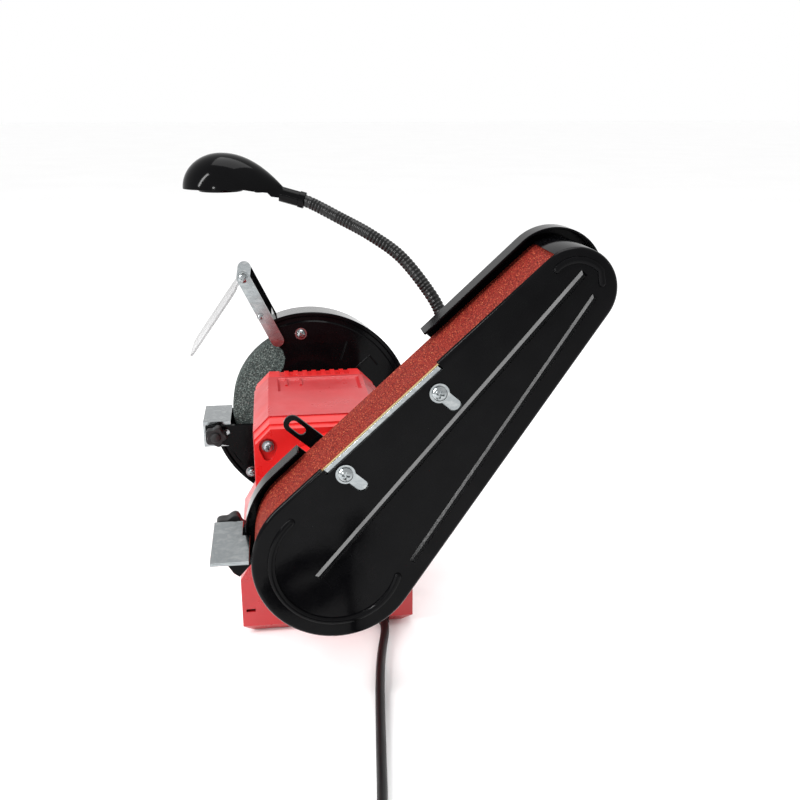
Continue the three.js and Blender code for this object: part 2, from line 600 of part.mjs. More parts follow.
function addTray() {
  const plate = armX(beltOutline(...TRAY_OUTER), TRAY_X, TRAY_X + SHEET);
  const rim = cut(
    armX(beltOutline(...TRAY_OUTER), TRAY_X, TRAY_X + TRAY_RIM),
    armX(beltOutline(...TRAY_INNER), TRAY_X - 1, TRAY_X + TRAY_RIM + 1),
  );
  const [start, stop] = TRAY_MOUTH;
  const sill = (along) => outlineHeight(DRIVE_R, IDLER_R, along) - 2; // the plate stops short of the belt
  const mouth = armX(polygon([[start, sill(start)], [stop, sill(stop)], [stop, 80], [start, 80]]),
    TRAY_X - 5, TRAY_X + 50);
  const lug = box(TRAY_X + 1, TRAY_X + 16, 130, 133, -12, 2);
  const sleeveHole = barX(TRAY_X - 5, TRAY_X + 5, SPIGOT_R - 6 + RUN, [0, 0], 32);
  const knobSlot = armX(capsule([TRACKING_AT - 9, 0], [TRACKING_AT + 6, 0], 4), TRAY_X - 5, TRAY_X + 5, 6);
  add("belt_tray", cut(join(plate, rim, lug), mouth, sleeveHole, knobSlot), BLACK_STEEL, arm);

  const washer = TRAY_X + 3 + GAP;
  add("tray_retainer", turned([
    [washer, SHAFT_BORE], [washer + 2, SHAFT_BORE], [washer + 2, SPIGOT_R], [washer - 1.2, SPIGOT_R],
    [washer - 1.2, SPIGOT_R - 6 + GAP], [washer, SPIGOT_R - 6 + GAP],
  ], [0, SHAFT_Z], 24), STEEL);

  const bar = armX(capsule([40.5, 36], [40.5, 66], 6), TRAY_X - 2.2 - GAP, TRAY_X - GAP, 8);
  const slot = armX(capsule([40.5, 58.5], [40.5, 65], 3.1), TRAY_X - 5, TRAY_X + 5, 8);
  add("slotted_bar", cut(bar, slot), BLACK_STEEL, arm);
}

// The working side of the cover is left open in front of this line.
function addCover() {
  const end = COVER_X + COVER_T;
  const face = armX(beltOutline(...COVER_OUTER), COVER_X, end);
  const wall = cut(
    armX(beltOutline(...COVER_OUTER), BELT_X + 2, COVER_X + 0.5),
    armX(beltOutline(...COVER_INNER), BELT_X, COVER_X + 2),
    armX(polygon([[-80, 26], [0, 20], [COVER_WALL_START, 5], [COVER_WALL_START, 80], [-80, 80]]),
      BELT_X - 5, COVER_X + 5),
  );
  const [from, to] = PLATEN_SPAN;
  const edge = (along) => outlineHeight(...COVER_OUTER, along);
  const step = armX(polygon([
    [from, edge(from) - 4.2], [to, edge(to) - 4.2], [to, edge(to) + 5], [from, edge(from) + 5],
  ]), COVER_X - 2, end + 2);
  const slots = [SCREW_LOWER, SCREW_UPPER].map(([along, out]) => armX(
    capsule([along, out], [along, out - SLOT_TRAVEL], 4), COVER_X - 2, end + 2, 8));
  add("belt_cover", cut(join(face, wall), step, ...slots), BLACK_STEEL, arm);
}

function addPlaten() {
  const [from, to] = PLATEN_SPAN;
  const under = (along) => outlineHeight(DRIVE_R, IDLER_R, along) - GAP;
  const flangeX = COVER_X - GAP - SHEET;
  const start = from + 1;
  const stop = to - 1;
  const top = armX(polygon([
    [start, under(start)], [start, under(start) - PLATEN_T], [stop, under(stop) - PLATEN_T],
    [stop, under(stop)],
  ]), BELT_X + 2, COVER_X - GAP);
  const lug = ([along, out]) => [along, out - SLOT_TRAVEL - 5];
  const flange = armX(polygon([
    [start, under(start)], [start, lug(SCREW_LOWER)[1]], [SCREW_LOWER[0] + 10, lug(SCREW_LOWER)[1]],
    [SCREW_LOWER[0] + 14, under(SCREW_LOWER[0] + 14) - 10],
    [SCREW_UPPER[0] - 14, under(SCREW_UPPER[0] - 14) - 10],
    [SCREW_UPPER[0] - 10, lug(SCREW_UPPER)[1]], [stop, lug(SCREW_UPPER)[1]], [stop, under(stop)],
  ]), flangeX, COVER_X - GAP);
  const holes = [SCREW_LOWER, SCREW_UPPER].map((at) => barX(flangeX - 2, COVER_X + 2, SCREW_R + GAP, at, 12));
  add("platen", cut(join(top, flange), ...holes), ZINC, arm);

  const seat = COVER_X + COVER_T + GAP;
  for (const [name, at] of [["platen_screw_lower", SCREW_LOWER], ["platen_screw_upper", SCREW_UPPER]]) {
    add(name, turned([
      [flangeX - 4, 0], [flangeX - 4, SCREW_R], [seat, SCREW_R], [seat, 6.2], [seat + 1, 6.2],
      [seat + 1, 4.6], [seat + 3, 4.2], [seat + 4, 2.4], [seat + 4, 0],
    ], at, 16), ZINC, arm);
  }
}

function addBelt() {
  const loop = cut(
    armX(beltOutline(...BELT_OUTER), BELT_X, BELT_END),
    armX(beltOutline(DRIVE_R, IDLER_R), BELT_X - 1, BELT_END + 1),
  );
  add("abrasive_belt", loop, GRIT, arm);
}

function addIdler() {
  const barEnd = TRAY_X + SHEET + GAP + 3;
  const bar = box(barEnd - 3, barEnd, 162, CENTRES + 8, -11, 11);
  const axleHole = barX(barEnd - 6, barEnd + 3, AXLE_R + GAP, [CENTRES, 0], 16);
  const studHole = barX(barEnd - 6, barEnd + 3, STUD_R + GAP, [TRACKING_AT, 0], 12);
  const lug = box(barEnd - 1, TRAY_X + 16, 162, 165, -12, 2);
  add("idler_carriage", cut(join(bar, lug), axleHole, studHole), ZINC, arm);
  add("idler_axle", turned([
    [barEnd - 3, 0], [barEnd - 3, AXLE_R], [barEnd + GAP, AXLE_R], [barEnd + GAP, 8],
    [barEnd + 1.4, 8], [barEnd + 1.4, AXLE_R], [BELT_END, AXLE_R], [BELT_END, 0],
  ], [CENTRES, 0], 20), STEEL, arm);
  const crown = IDLER_R - RUN;
  const from = barEnd + 1.8;
  add("idler_wheel", turned([
    [from, AXLE_R + RUN], [BELT_END - 2, AXLE_R + RUN], [BELT_END - 2, 11], [BELT_END - 8, 12],
    [BELT_END - 8, crown - 4], [BELT_END - 1, crown - 4], [BELT_END - 1, crown - 0.5],
    [(from + BELT_END) / 2, crown], [from, crown - 0.5],
  ], [CENTRES, 0], 32), BLACK_PLASTIC, arm);

  const spring = new THREE.LatheGeometry([[3, 0], [5, 0], [5, 28.4], [3, 28.4], [3, 0]]
    .map(([r, a]) => new THREE.Vector2(r, a)), 16);
  add("tension_spring", spring.translate(TRAY_X + 10, 133.3, -5), STEEL, arm);

  const knobX = TRAY_X - GAP;
  add("tracking_knob", knob(knobX, -1, [TRACKING_AT, 0], TRACKING_KNOB_R, barEnd), BLACK_PLASTIC, arm);
}

function addBeltRest() {
  const flangeX = TRAY_X - 6.2;
  const front = -(BELT_OUTER[0] + 3);
  const clear = -(TRAY_OUTER[0] + 1.3);
  const far = clear - BELT_REST_DEPTH;
  const plate = polygon([
    [flangeX, far], [BELT_END, far], [BELT_END, front], [TRAY_X + TRAY_RIM + 2, front],
    [TRAY_X + TRAY_RIM + 2, clear], [flangeX, clear],
  ]);
  const flange = box(flangeX, flangeX + REST_T, far, clear, BELT_REST_Z - REST_DROP, BELT_REST_Z);
  const hole = barX(flangeX - 2, flangeX + 4, STUD_R + RUN, BELT_KNOB, 12);
  const rest = join(alongZ(plate, BELT_REST_Z - REST_T, BELT_REST_Z), flange);
  add("belt_rest", cut(rest, hole), ZINC);

  const bracketX = flangeX + REST_T + GAP;
  const gusset = polygon([
    [-79, 98], [-79, 115.3], [-44, 115.3], [-44, 92], [-54, 88], [-64, 77], [-68, 80],
  ]);
  const slot = alongX(capsule([BELT_KNOB[0] - 5, BELT_KNOB[1]], [BELT_KNOB[0] + 4, BELT_KNOB[1]],
    STUD_R + 0.5), bracketX - 2, bracketX + 5, 6);
  const foot = box(bracketX + 1, TRAY_X - GAP, -52, -44.5, 96, 112);
  const side = alongX(gusset, bracketX, bracketX + BAR_T);
  add("belt_rest_bracket", cut(join(side, foot), slot), BLACK_STEEL);
  add("belt_rest_knob", knob(flangeX - GAP, -1, BELT_KNOB, BELT_KNOB_R, bracketX + BAR_T), BLACK_PLASTIC);
}

// ---------------------------------------------------------------- lamp
// The neck's middle line, from the socket to the head, and the balls that it bends about.
const SOCKET_LENGTH = 13;
const slopeRun = BASE_TOP_Z - BASE_SHOULDER_Z;
const slopeFall = BASE_HALF_DEPTH - MOTOR_HALF_DEPTH - 2;
const slopeSide = Math.hypot(slopeRun, slopeFall);
const SLOPE_NORMAL = [0, slopeRun / slopeSide, slopeFall / slopeSide];
const NECK_ROOT = [
  0, BASE_HALF_DEPTH - slopeFall / 2 + SOCKET_LENGTH * SLOPE_NORMAL[1],
  (BASE_TOP_Z + BASE_SHOULDER_Z) / 2 + SOCKET_LENGTH * SLOPE_NORMAL[2],
];
const behindBase = ([x, y, z]) => [x, y + BASE_HALF_DEPTH, z + BASE_TOP_Z];
const NECK_LOWER = [[0, 15, 4], [0, 22, 20], [0, 28, 47], [-1, 33, 77], [-3, 38, 107]].map(behindBase);
const NECK_BALL_A = behindBase([-8, 40.5, 137]);
const NECK_MIDDLE = [[-15, 36.5, 161], [-23, 27.5, 180], [-40, 7, 208]].map(behindBase);
const NECK_BALL_B = behindBase([-57, -16.5, 225.5]);
const NECK_UPPER = [[-76, -41, 238], [-90, -63, 247], [-95.5, -75, 249.3]].map(behindBase);
const NECK_TIP = behindBase([-97, -83, 249.5]);

const point = ([x, y, z]) => new THREE.Vector3(x, y, z);

function neckTube(points, steps) {
  const path = new THREE.CatmullRomCurve3(points.map(point));
  const section = circle([0, 0], NECK_TUBE_R);
  return new THREE.ExtrudeGeometry(section, {
    steps, bevelEnabled: false, extrudePath: path, curveSegments: 5,
  });
}

const ball = (centre, radius) => new THREE.SphereGeometry(radius, 12, 8).translate(...centre);

// A stretch of neck with a round end at its last point and a cup round the ball at its first.
function neckSegment(from, through, to, steps) {
  const tube = neckTube([from, ...through, to], steps);
  return cut(join(tube, ball(to, NECK_TUBE_R)), ball(from, NECK_TUBE_R + RUN + 0.15));
}

function addLamp() {
  // The socket stands square on the sloping back of the base.
  const turn = new THREE.Quaternion().setFromUnitVectors(Y, point(SLOPE_NORMAL));
  const profile = [
    [0, -SOCKET_LENGTH + GAP], [9, -SOCKET_LENGTH + GAP], [9, -7], [6.5, -3], [NECK_TUBE_R, 0], [0, 0],
  ];
  const socket = new THREE.LatheGeometry(profile.map(([r, a]) => new THREE.Vector2(r, a)), 20)
    .applyQuaternion(turn).translate(...NECK_ROOT);
  add("lamp_socket", join(socket, ball(NECK_ROOT, NECK_TUBE_R)), BLACK_PLASTIC);

  add("neck_lower", neckSegment(NECK_ROOT, NECK_LOWER, NECK_BALL_A, 9), BLACK_STEEL);
  add("neck_middle", neckSegment(NECK_BALL_A, NECK_MIDDLE, NECK_BALL_B, 8), BLACK_STEEL);
  add("neck_upper", neckSegment(NECK_BALL_B, NECK_UPPER, NECK_TIP, 6), BLACK_STEEL);

  const rear = NECK_TIP[1] - 8;
  const bottom = NECK_TIP[2] + 4;
  const centre = [NECK_TIP[0] - 8, rear - LAMP_LENGTH / 2, bottom + 4];
  const egg = new THREE.SphereGeometry(1, 20, 12)
    .scale(LAMP_WIDTH / 2, LAMP_LENGTH / 2, LAMP_HEIGHT - 4).translate(...centre);
  const sole = box(centre[0] - 60, centre[0] + 60, centre[1] - 80, centre[1] + 80, bottom - 60, bottom);
  const collar = new THREE.CylinderGeometry(7.5, 7.5, 16, 16)
    .translate(NECK_TIP[0], NECK_TIP[1] - 10.5, NECK_TIP[2]);
  const lensAt = [centre[0], centre[1] - 8];
  const pocket = new THREE.CylinderGeometry(17, 17, 4, 20).rotateX(Math.PI / 2)
    .translate(...lensAt, bottom + 1);
  const buttonAt = [centre[0], centre[1] + 24];
  const buttonHole = new THREE.CylinderGeometry(4.5, 4.5, 12, 16).rotateX(Math.PI / 2)
    .translate(...buttonAt, bottom + 3);
  add("lamp_head", cut(join(cut(egg, sole), collar), ball(NECK_TIP, NECK_TUBE_R + RUN + 0.15), pocket,
    buttonHole), BLACK_PLASTIC);
  add("lamp_lens", new THREE.CylinderGeometry(16.6, 16.6, 2.4, 20).rotateX(Math.PI / 2)
    .translate(...lensAt, bottom + 1.4), LENS);
  add("lamp_switch", new THREE.CylinderGeometry(4.1, 4.1, 6, 16).rotateX(Math.PI / 2)
    .translate(...buttonAt, bottom + 1.4), BLACK_PLASTIC);
}

// ---------------------------------------------------------------- mains cord
const CORD_ROUTE = [
  [79, 43, 4.2], [88, 42.6, 3.9], [98, 41, 3.6], [113, 37.7, 3.4], [135, 33.8, 3.4], [160, 30.4, 3.4],
  [185, 27.6, 3.4], [210, 25, 3.4], [235, 22.4, 3.4], [260, 19.9, 3.4], [285, 17.2, 3.4],
  [305, 15.5, 3.4], [325, 15, 3.4],
];

// The coil's outer shape: a flat ring lying on the bench.
function turnedCoil(halfWidth, height) {
  const [cx, cy] = COIL_CENTRE;
  const ring = [[COIL_MEAN_R - halfWidth, 0], [COIL_MEAN_R + halfWidth, 0],
    [COIL_MEAN_R + halfWidth, height], [COIL_MEAN_R - halfWidth, height], [COIL_MEAN_R - halfWidth, 0]];
  return new THREE.LatheGeometry(ring.map(([r, a]) => new THREE.Vector2(r, a)), 32)
    .rotateX(Math.PI / 2).translate(cx, cy, 0);
}

function addCord() {
  const profile = [[0, 0], [6.5, 0], [6.5, 6], [5, 8], [CORD_R + 0.7, GLAND_LENGTH], [0, GLAND_LENGTH]];
  const gland = new THREE.LatheGeometry(profile.map(([r, a]) => new THREE.Vector2(r, a)), 16)
    .rotateZ(-Math.PI / 2)
    .translate(CORD_ROUTE[0][0] - GLAND_LENGTH - GAP, CORD_EXIT_Y, CORD_ROUTE[0][2]);
  const floor = box(0, 120, 0, 90, -20, 0);
  add("cord_gland", cut(gland, floor), BLACK_PLASTIC);

  const path = new THREE.CatmullRomCurve3(CORD_ROUTE.map(point));
  add("cord_lead", new THREE.ExtrudeGeometry(circle([0, 0], CORD_R), {
    steps: 16, bevelEnabled: false, extrudePath: path, curveSegments: 5,
  }), CORD_BLACK);

  const [cx, cy] = COIL_CENTRE;
  const lead = solidOf(new THREE.ExtrudeGeometry(circle([0, 0], CORD_R + GAP), {
    steps: 16, bevelEnabled: false, extrudePath: path, curveSegments: 5,
  }));
  add("cord_coil", geometryOf(solidOf(turnedCoil(COIL_HALF_WIDTH, COIL_HEIGHT)).subtract(lead)), CORD_BLACK);

  // The plug lies beside the coil, its strain relief meeting the last turn of the top layer.
  const plugY = cy + COIL_MEAN_R + COIL_HALF_WIDTH - CORD_R - 0.1; // over the outermost turn
  const reliefX = cx + 28;
  const relief = new THREE.CylinderGeometry(6.5, CORD_R + 0.8, 28, 12).rotateZ(-Math.PI / 2)
    .translate(reliefX + 14, plugY, PLUG_AXIS_Z);
  const body = roundedRect(plugY - PLUG_WIDTH / 2, plugY + PLUG_WIDTH / 2, 0, PLUG_AXIS_Z * 2, 4);
  const face = reliefX + 26 + PLUG_LENGTH;
  const blade = (side) => box(face - 1, face + 17, plugY + side * 6.3 - 0.8, plugY + side * 6.3 + 0.8,
    PLUG_AXIS_Z - 1, PLUG_AXIS_Z + 5.3);
  const plug = join(relief, alongX(body, reliefX + 26, face, 4), blade(1), blade(-1),
    barX(face - 1, face + 19, 2.4, [plugY, PLUG_AXIS_Z - 6], 12));
  const round = turnedCoil(COIL_HALF_WIDTH + GAP, COIL_HEIGHT + 1);
  add("plug", cut(plug, round), CORD_BLACK);
}

addBase();
addMotor();
addShaft();
addGuard();
addShield();
addWheelRest();
addTray();
addCover();
addPlaten();
addBelt();
addIdler();
addBeltRest();
addLamp();
addCord();

export default part;
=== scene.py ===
"""Bench grinder with a belt sander arm and a gooseneck lamp. Sizes are in millimetres until a piece is
finished, and then in metres. The motor shaft lies along X, the operator stands at -Y, +Z is up."""

import math

import bmesh
import bpy
from mathutils import Matrix, Vector


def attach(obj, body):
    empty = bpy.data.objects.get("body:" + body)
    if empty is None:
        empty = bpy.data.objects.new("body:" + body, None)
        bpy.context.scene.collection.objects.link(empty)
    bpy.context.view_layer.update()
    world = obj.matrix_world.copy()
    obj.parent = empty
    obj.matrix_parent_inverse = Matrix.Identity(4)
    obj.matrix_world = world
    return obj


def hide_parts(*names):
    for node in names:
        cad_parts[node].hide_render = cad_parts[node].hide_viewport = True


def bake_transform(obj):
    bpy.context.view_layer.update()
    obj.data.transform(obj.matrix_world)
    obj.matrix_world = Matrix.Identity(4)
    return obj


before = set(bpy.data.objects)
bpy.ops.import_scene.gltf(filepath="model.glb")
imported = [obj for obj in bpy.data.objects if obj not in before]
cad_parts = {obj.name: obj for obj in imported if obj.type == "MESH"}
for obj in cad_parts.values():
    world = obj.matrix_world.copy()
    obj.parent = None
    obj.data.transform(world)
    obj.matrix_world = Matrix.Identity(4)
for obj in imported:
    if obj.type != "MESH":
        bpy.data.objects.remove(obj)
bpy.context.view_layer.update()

MM = 0.001
SHEET = 1.5  # pressed steel thickness
SHAFT_Z = 115
SHAFT_BORE_R = 8.3
PIN_BORE_R = 3.3
ARM_ANGLE = 49.2  # degrees above the bench
CENTRES = 225.35  # drive wheel to idler
DRIVE_R = 50.5
IDLER_R = 23.3
BELT_X = (134, 184)
TRAY_X = 128
COVER_X = 187  # inner face of the cover
COVER_T = 1.2
BASE_X = 77
BASE_HALF_DEPTH = 66
BASE_SHOULDER_Z = 48  # where the walls start to lean in
BASE_TOP_Z = 68
BASE_WALL = 3
BODY_X = 52
MOTOR_HALF_DEPTH = 52
MOTOR_TOP = 170
MOTOR_CHAMFER = 12
BELL_SCREW = (-41, 154.6)
GUARD_X = -126.5
GUARD_END = -178
GUARD_R = 94.2
GUARD_TAPER = 5.5  # how much the pressed drum narrows towards its open end
WHEEL_FACES = (-157.6, -137.6)
SHIELD_PIVOT = (-59, 243)
SHIELD_TILT = -35.7
ARM_FOOT = (-30.5, 184)
BAR_R = 6  # flat bars with round ends
CORD_R = 3.3
CORD_EXIT = (43, 4.2)
FLOOR_Z = -0.2  # just below the bench plane, so nothing lies in the floor's own face


def tilted(degrees, centre=(0, SHAFT_Z)):
    """What is drawn round the origin, turned about X and moved to a point of Y and Z."""
    return Matrix.Translation((0, *centre)) @ Matrix.Rotation(math.radians(degrees), 4, "X")


ARM = tilted(ARM_ANGLE)


# ---------------------------------------------------------------- camera and light
def place_camera():
    lens = bpy.data.cameras.new("camera")
    lens.lens, lens.sensor_width = 41.91, 36
    camera = bpy.data.objects.new("camera", lens)
    camera.location = (0.71926, -0.03258, 0.39322)
    camera.rotation_mode = "QUATERNION"
    camera.rotation_quaternion = Vector((-0.9437, 0.1301, -0.3041)).to_track_quat("-Z", "Y")
    bpy.context.scene.collection.objects.link(camera)
    bpy.context.scene.camera = camera


def area_light(name, place, aim, width, height, power, up=(0, 0, 1)):
    """A rectangle of light; its height lies along up."""
    light = bpy.data.lights.new(name, "AREA")
    light.shape, light.size, light.size_y, light.energy = "RECTANGLE", width, height, power
    holder = bpy.data.objects.new(name, light)
    holder.location = place
    back = (Vector(place) - Vector(aim)).normalized()
    side = Vector(up).cross(back).normalized()
    holder.rotation_euler = Matrix((side, back.cross(side), back)).transposed().to_euler()
    bpy.context.scene.collection.objects.link(holder)


# ---------------------------------------------------------------- materials
def colour(code):
    """An sRGB hex colour as linear red, green, blue and an alpha of 1."""
    levels = [int(code[i:i + 2], 16) / 255 for i in (0, 2, 4)]
    return [v / 12.92 if v <= 0.04045 else ((v + 0.055) / 1.055) ** 2.4 for v in levels] + [1.0]


def add_node(material, kind, settings=(), inputs=()):
    """A node of that kind with its settings; an input is a value, or a socket to link from."""
    node = material.node_tree.nodes.new(kind)
    for key, value in dict(settings).items():
        setattr(node, key, value)
    for key, value in dict(inputs).items():
        if isinstance(value, bpy.types.NodeSocket):
            material.node_tree.links.new(value, node.inputs[key])
        else:
            node.inputs[key].default_value = value
    return node


def ramp_between(material, factor, stops):
    """A colour ramp over a pattern, with its stops as (place, hex colour)."""
    node = add_node(material, "ShaderNodeValToRGB", inputs={0: factor})
    ends = node.color_ramp.elements
    while len(ends) < len(stops):
        ends.new(0.5)
    for element, (place, code) in zip(ends, stops):
        element.position, element.color = place, colour(code)
    return node.outputs[0]


def finish_of(name, base, speck=None, speck_mm=1.0, contrast=(0.35, 0.65), bump_mm=0.0, bump_size=1.0,
              wear=None, stretch=(1, 1, 1), **numbers):
    """A surface: its base colour, further colours mixed in as specks of a size, a fine bump, and
    a slow change of roughness (wear) between two values. Other numbers go to the shader's sockets."""
    material = bpy.data.materials.new(name)
    material.use_nodes = True
    shader = material.node_tree.nodes["Principled BSDF"]
    links = material.node_tree.links
    for key, value in numbers.items():
        shader.inputs[key.replace("_", " ")].default_value = value
    place = add_node(material, "ShaderNodeTexCoord").outputs["Object"]
    place = add_node(material, "ShaderNodeMapping",
                     inputs={"Vector": place, "Scale": stretch}).outputs[0]
    shader.inputs["Base Color"].default_value = colour(base)
    if speck:
        grain = add_node(material, "ShaderNodeTexNoise", inputs={
            "Vector": place, "Scale": 1 / (speck_mm * MM), "Detail": 3.0, "Roughness": 0.6})
        stops = [(contrast[0], base)] + [
            (contrast[0] + (contrast[1] - contrast[0]) * (i + 1) / len(speck), code)
            for i, code in enumerate(speck)]
        links.new(ramp_between(material, grain.outputs["Fac"], stops), shader.inputs["Base Color"])
    if wear:
        cloud = add_node(material, "ShaderNodeTexNoise", inputs={
            "Vector": place, "Scale": 1 / (18 * MM), "Detail": 4.0, "Roughness": 0.55})
        spread = add_node(material, "ShaderNodeMapRange", inputs={
            "Value": cloud.outputs["Fac"], "From Min": 0.3, "From Max": 0.7,
            "To Min": wear[0], "To Max": wear[1]})
        links.new(spread.outputs[0], shader.inputs["Roughness"])
    if bump_mm:
        relief = add_node(material, "ShaderNodeTexNoise", inputs={
            "Vector": place, "Scale": 1 / (bump_size * MM), "Detail": 2.0})
        bump = add_node(material, "ShaderNodeBump", inputs={
            "Height": relief.outputs["Fac"], "Distance": bump_mm * MM, "Strength": 1.0})
        links.new(bump.outputs[0], shader.inputs["Normal"])
    return material


# Moulded ABS, satin: an even red whose gloss changes slowly, so the glare isn't flat.
RED_ABS = finish_of("satin_red_abs", "a00e14", speck=["a91118"], speck_mm=30, wear=(0.26, 0.38),
                    IOR=1.5, Specular_IOR_Level=0.7)
# Die casting under baked enamel: a warmer red that takes less of the glare.
RED_ENAMEL = finish_of("baked_red_enamel", "bc1a1a", speck=["c51e1d"], speck_mm=25, wear=(0.26, 0.38),
                       IOR=1.5, Specular_IOR_Level=0.45)
# Powder coat on pressed steel: glossy black, orange peel about 2 mm across, a few duller patches.
POWDER_COAT = finish_of("gloss_black_powder_coat", "040405", speck=["070708"], speck_mm=20,
                        bump_mm=0.02, bump_size=2.5, wear=(0.09, 0.15), IOR=1.5, Specular_IOR_Level=0.07)
# Lacquer over a wound steel hose: darker in the grooves because the ribs are real.
HOSE_LACQUER = finish_of("black_hose_lacquer", "060606", speck=["0f0f10"], speck_mm=1.5, bump_mm=0.02,
                         bump_size=0.8, wear=(0.2, 0.32), IOR=1.5, Specular_IOR_Level=0.25)
# Glass-filled nylon, spark-eroded mould: a fine even grain that scatters light.
NYLON = finish_of("matte_black_nylon", "0b0b0c", speck=["121213"], speck_mm=1.2, bump_mm=0.06,
                  bump_size=0.7, wear=(0.42, 0.55), IOR=1.53, Specular_IOR_Level=0.3)
# Polished ABS of the lamp's shell: sharp highlights, no grain.
POLISHED_ABS = finish_of("polished_black_abs", "030304", speck=["050506"], speck_mm=25, bump_mm=0.01,
                         bump_size=6, wear=(0.07, 0.13), IOR=1.54, Specular_IOR_Level=0.07)
# Bright zinc plating: bluish white, cloudy, with faint streaks from rolling.
ZINC = finish_of("bright_zinc_plate", "9fa3a4", speck=["8b9092", "adb0b0"], speck_mm=9,
                 contrast=(0.3, 0.75), bump_mm=0.008, bump_size=1.2, wear=(0.1, 0.26),
                 stretch=(1, 1, 2.5), Metallic=1.0)
# Turned and ground steel: a grey sheen drawn out round the axis by fine tool marks.
STEEL = finish_of("machined_steel", "8d9195", speck=["a0a4a7"], speck_mm=3, bump_mm=0.01, bump_size=0.5,
                  wear=(0.25, 0.4), stretch=(6, 1, 1), Metallic=1.0)
# Enamelled winding wire: warm orange, its strands laid along the stator.
COPPER = finish_of("enamelled_copper_wire", "9c5227", speck=["b86a36"], speck_mm=0.8, bump_mm=0.15,
                   bump_size=0.9, wear=(0.3, 0.45), stretch=(0.1, 1, 1), Metallic=1.0)
# Cast aluminium: a pale, slightly pitted grey.
ALUMINIUM = finish_of("cast_aluminium", "a4a7aa", speck=["b4b6b8"], speck_mm=2, bump_mm=0.05,
                      bump_size=0.9, wear=(0.35, 0.5), Metallic=1.0)
# Coated abrasive: grains drawn at 1 mm so that they show, light on a dark red bond.
GRIT = finish_of("aluminium_oxide_cloth", "380e09", speck=["64160f", "80241a", "bc7850"], speck_mm=1.0,
                 contrast=(0.36, 0.72), bump_mm=0.3, bump_size=1.0, wear=(0.7, 0.9), IOR=1.5,
                 Specular_IOR_Level=0.12)
# Its cotton backing, which shows as a pale frayed line at the edge.
BACKING = finish_of("cotton_backing", "b49a63", speck=["d8c491"], speck_mm=1.0, bump_mm=0.2,
                    bump_size=0.8, wear=(0.85, 0.95), IOR=1.5)
# Vitrified grit wheel: grey-green grains with dark pores.
STONE = finish_of("vitrified_grit_stone", "101413", speck=["2c3432", "4a5451", "8c9691"], speck_mm=1.15,
                  contrast=(0.34, 0.7), bump_mm=0.5, bump_size=1.3, wear=(0.85, 0.95), IOR=1.5)
# Scratched clear polycarbonate: a pale grey haze that the parts behind it show through.
CLEAR = finish_of("clear_polycarbonate", "504e50", speck=["5a585a"], speck_mm=20, bump_mm=0.01,
                  bump_size=9, wear=(0.08, 0.16), IOR=1.585, Specular_IOR_Level=0.2, Alpha=0.5)
# Frosted acrylic: a milky white that lets a little light through.
DIFFUSER = finish_of("frosted_acrylic", "eceade", speck=["f4f2e8"], speck_mm=6, bump_mm=0.05,
                     bump_size=0.8, wear=(0.35, 0.5), IOR=1.49, Transmission_Weight=0.2)
# Plasticised PVC sheath: soft black with a wide, dull highlight.
PVC = finish_of("black_pvc_sheath", "080809", speck=["0e0e0f"], speck_mm=4, bump_mm=0.03, bump_size=1.5,
                wear=(0.38, 0.5), IOR=1.53, Specular_IOR_Level=0.3)
# Painted floor: almost white and quite dull, so that it only takes a soft shadow.
FLOOR = finish_of("pale_floor", "fcfcfc", speck=["fefefe"], speck_mm=400, wear=(0.8, 0.9))


# ---------------------------------------------------------------- shapes
def arc(centre, radius, start, end, steps=24):
    """Points on an arc, between two angles in degrees."""
    return [(centre[0] + radius * math.cos(a), centre[1] + radius * math.sin(a))
            for a in (math.radians(start + (end - start) * i / steps) for i in range(steps + 1))]


def capsule(a, b, radius, steps=12):
    """The outline of a bar with round ends between two points."""
    turn = math.degrees(math.atan2(b[1] - a[1], b[0] - a[0]))
    return arc(a, radius, turn + 90, turn + 270, steps) + arc(b, radius, turn - 90, turn + 90, steps)


def belt_line(drive, idler, steps=40):
    """The taut outline round both wheels, along the arm and out of it."""
    lean = math.degrees(math.asin((drive - idler) / CENTRES))
    return (arc((0, 0), drive, 90 - lean, 270 + lean, steps)
            + arc((CENTRES, 0), idler, lean - 90, 90 - lean, steps))


def belt_height(drive, idler, along):
    """How far that outline's upper straight stands out from the arm's middle line."""
    lean = math.asin((drive - idler) / CENTRES)
    return drive / math.cos(lean) - along * math.tan(lean)


def rounded(a0, a1, b0, b1, radius, steps=6):
    """The outline of a rectangle with round corners."""
    return (arc((a1 - radius, b1 - radius), radius, 0, 90, steps)
            + arc((a0 + radius, b1 - radius), radius, 90, 180, steps)
            + arc((a0 + radius, b0 + radius), radius, 180, 270, steps)
            + arc((a1 - radius, b0 + radius), radius, 270, 360, steps))


def round_hole(centre, radius, sides=36):
    return arc(centre, radius, 0, 360 - 360 / sides, sides - 1)


def facing_out(bm):
    bmesh.ops.recalc_face_normals(bm, faces=bm.faces)
    return bm


def loop_of(bm, points, x):
    """A closed loop of edges through points of Y and Z, at x."""
    verts = [bm.verts.new((x, y, z)) for y, z in points]
    return [bm.edges.new((a, b)) for a, b in zip(verts, verts[1:] + verts[:1])]


def slab(outline, x0, x1, holes=()):
    """A flat outline with holes, given a thickness along X."""
    bm = bmesh.new()
    edges = [e for points in (outline, *holes) for e in loop_of(bm, points, x0)]
    if holes:
        flat = [g for g in bmesh.ops.triangle_fill(bm, use_beauty=True, edges=edges)["geom"]
                if isinstance(g, bmesh.types.BMFace)]
    else:
        flat = bmesh.ops.contextual_create(bm, geom=edges)["faces"]
    grown = bmesh.ops.extrude_face_region(bm, geom=flat)["geom"]
    bmesh.ops.translate(bm, vec=(x1 - x0, 0, 0),
                        verts=[g for g in grown if isinstance(g, bmesh.types.BMVert)])
    return facing_out(bm)


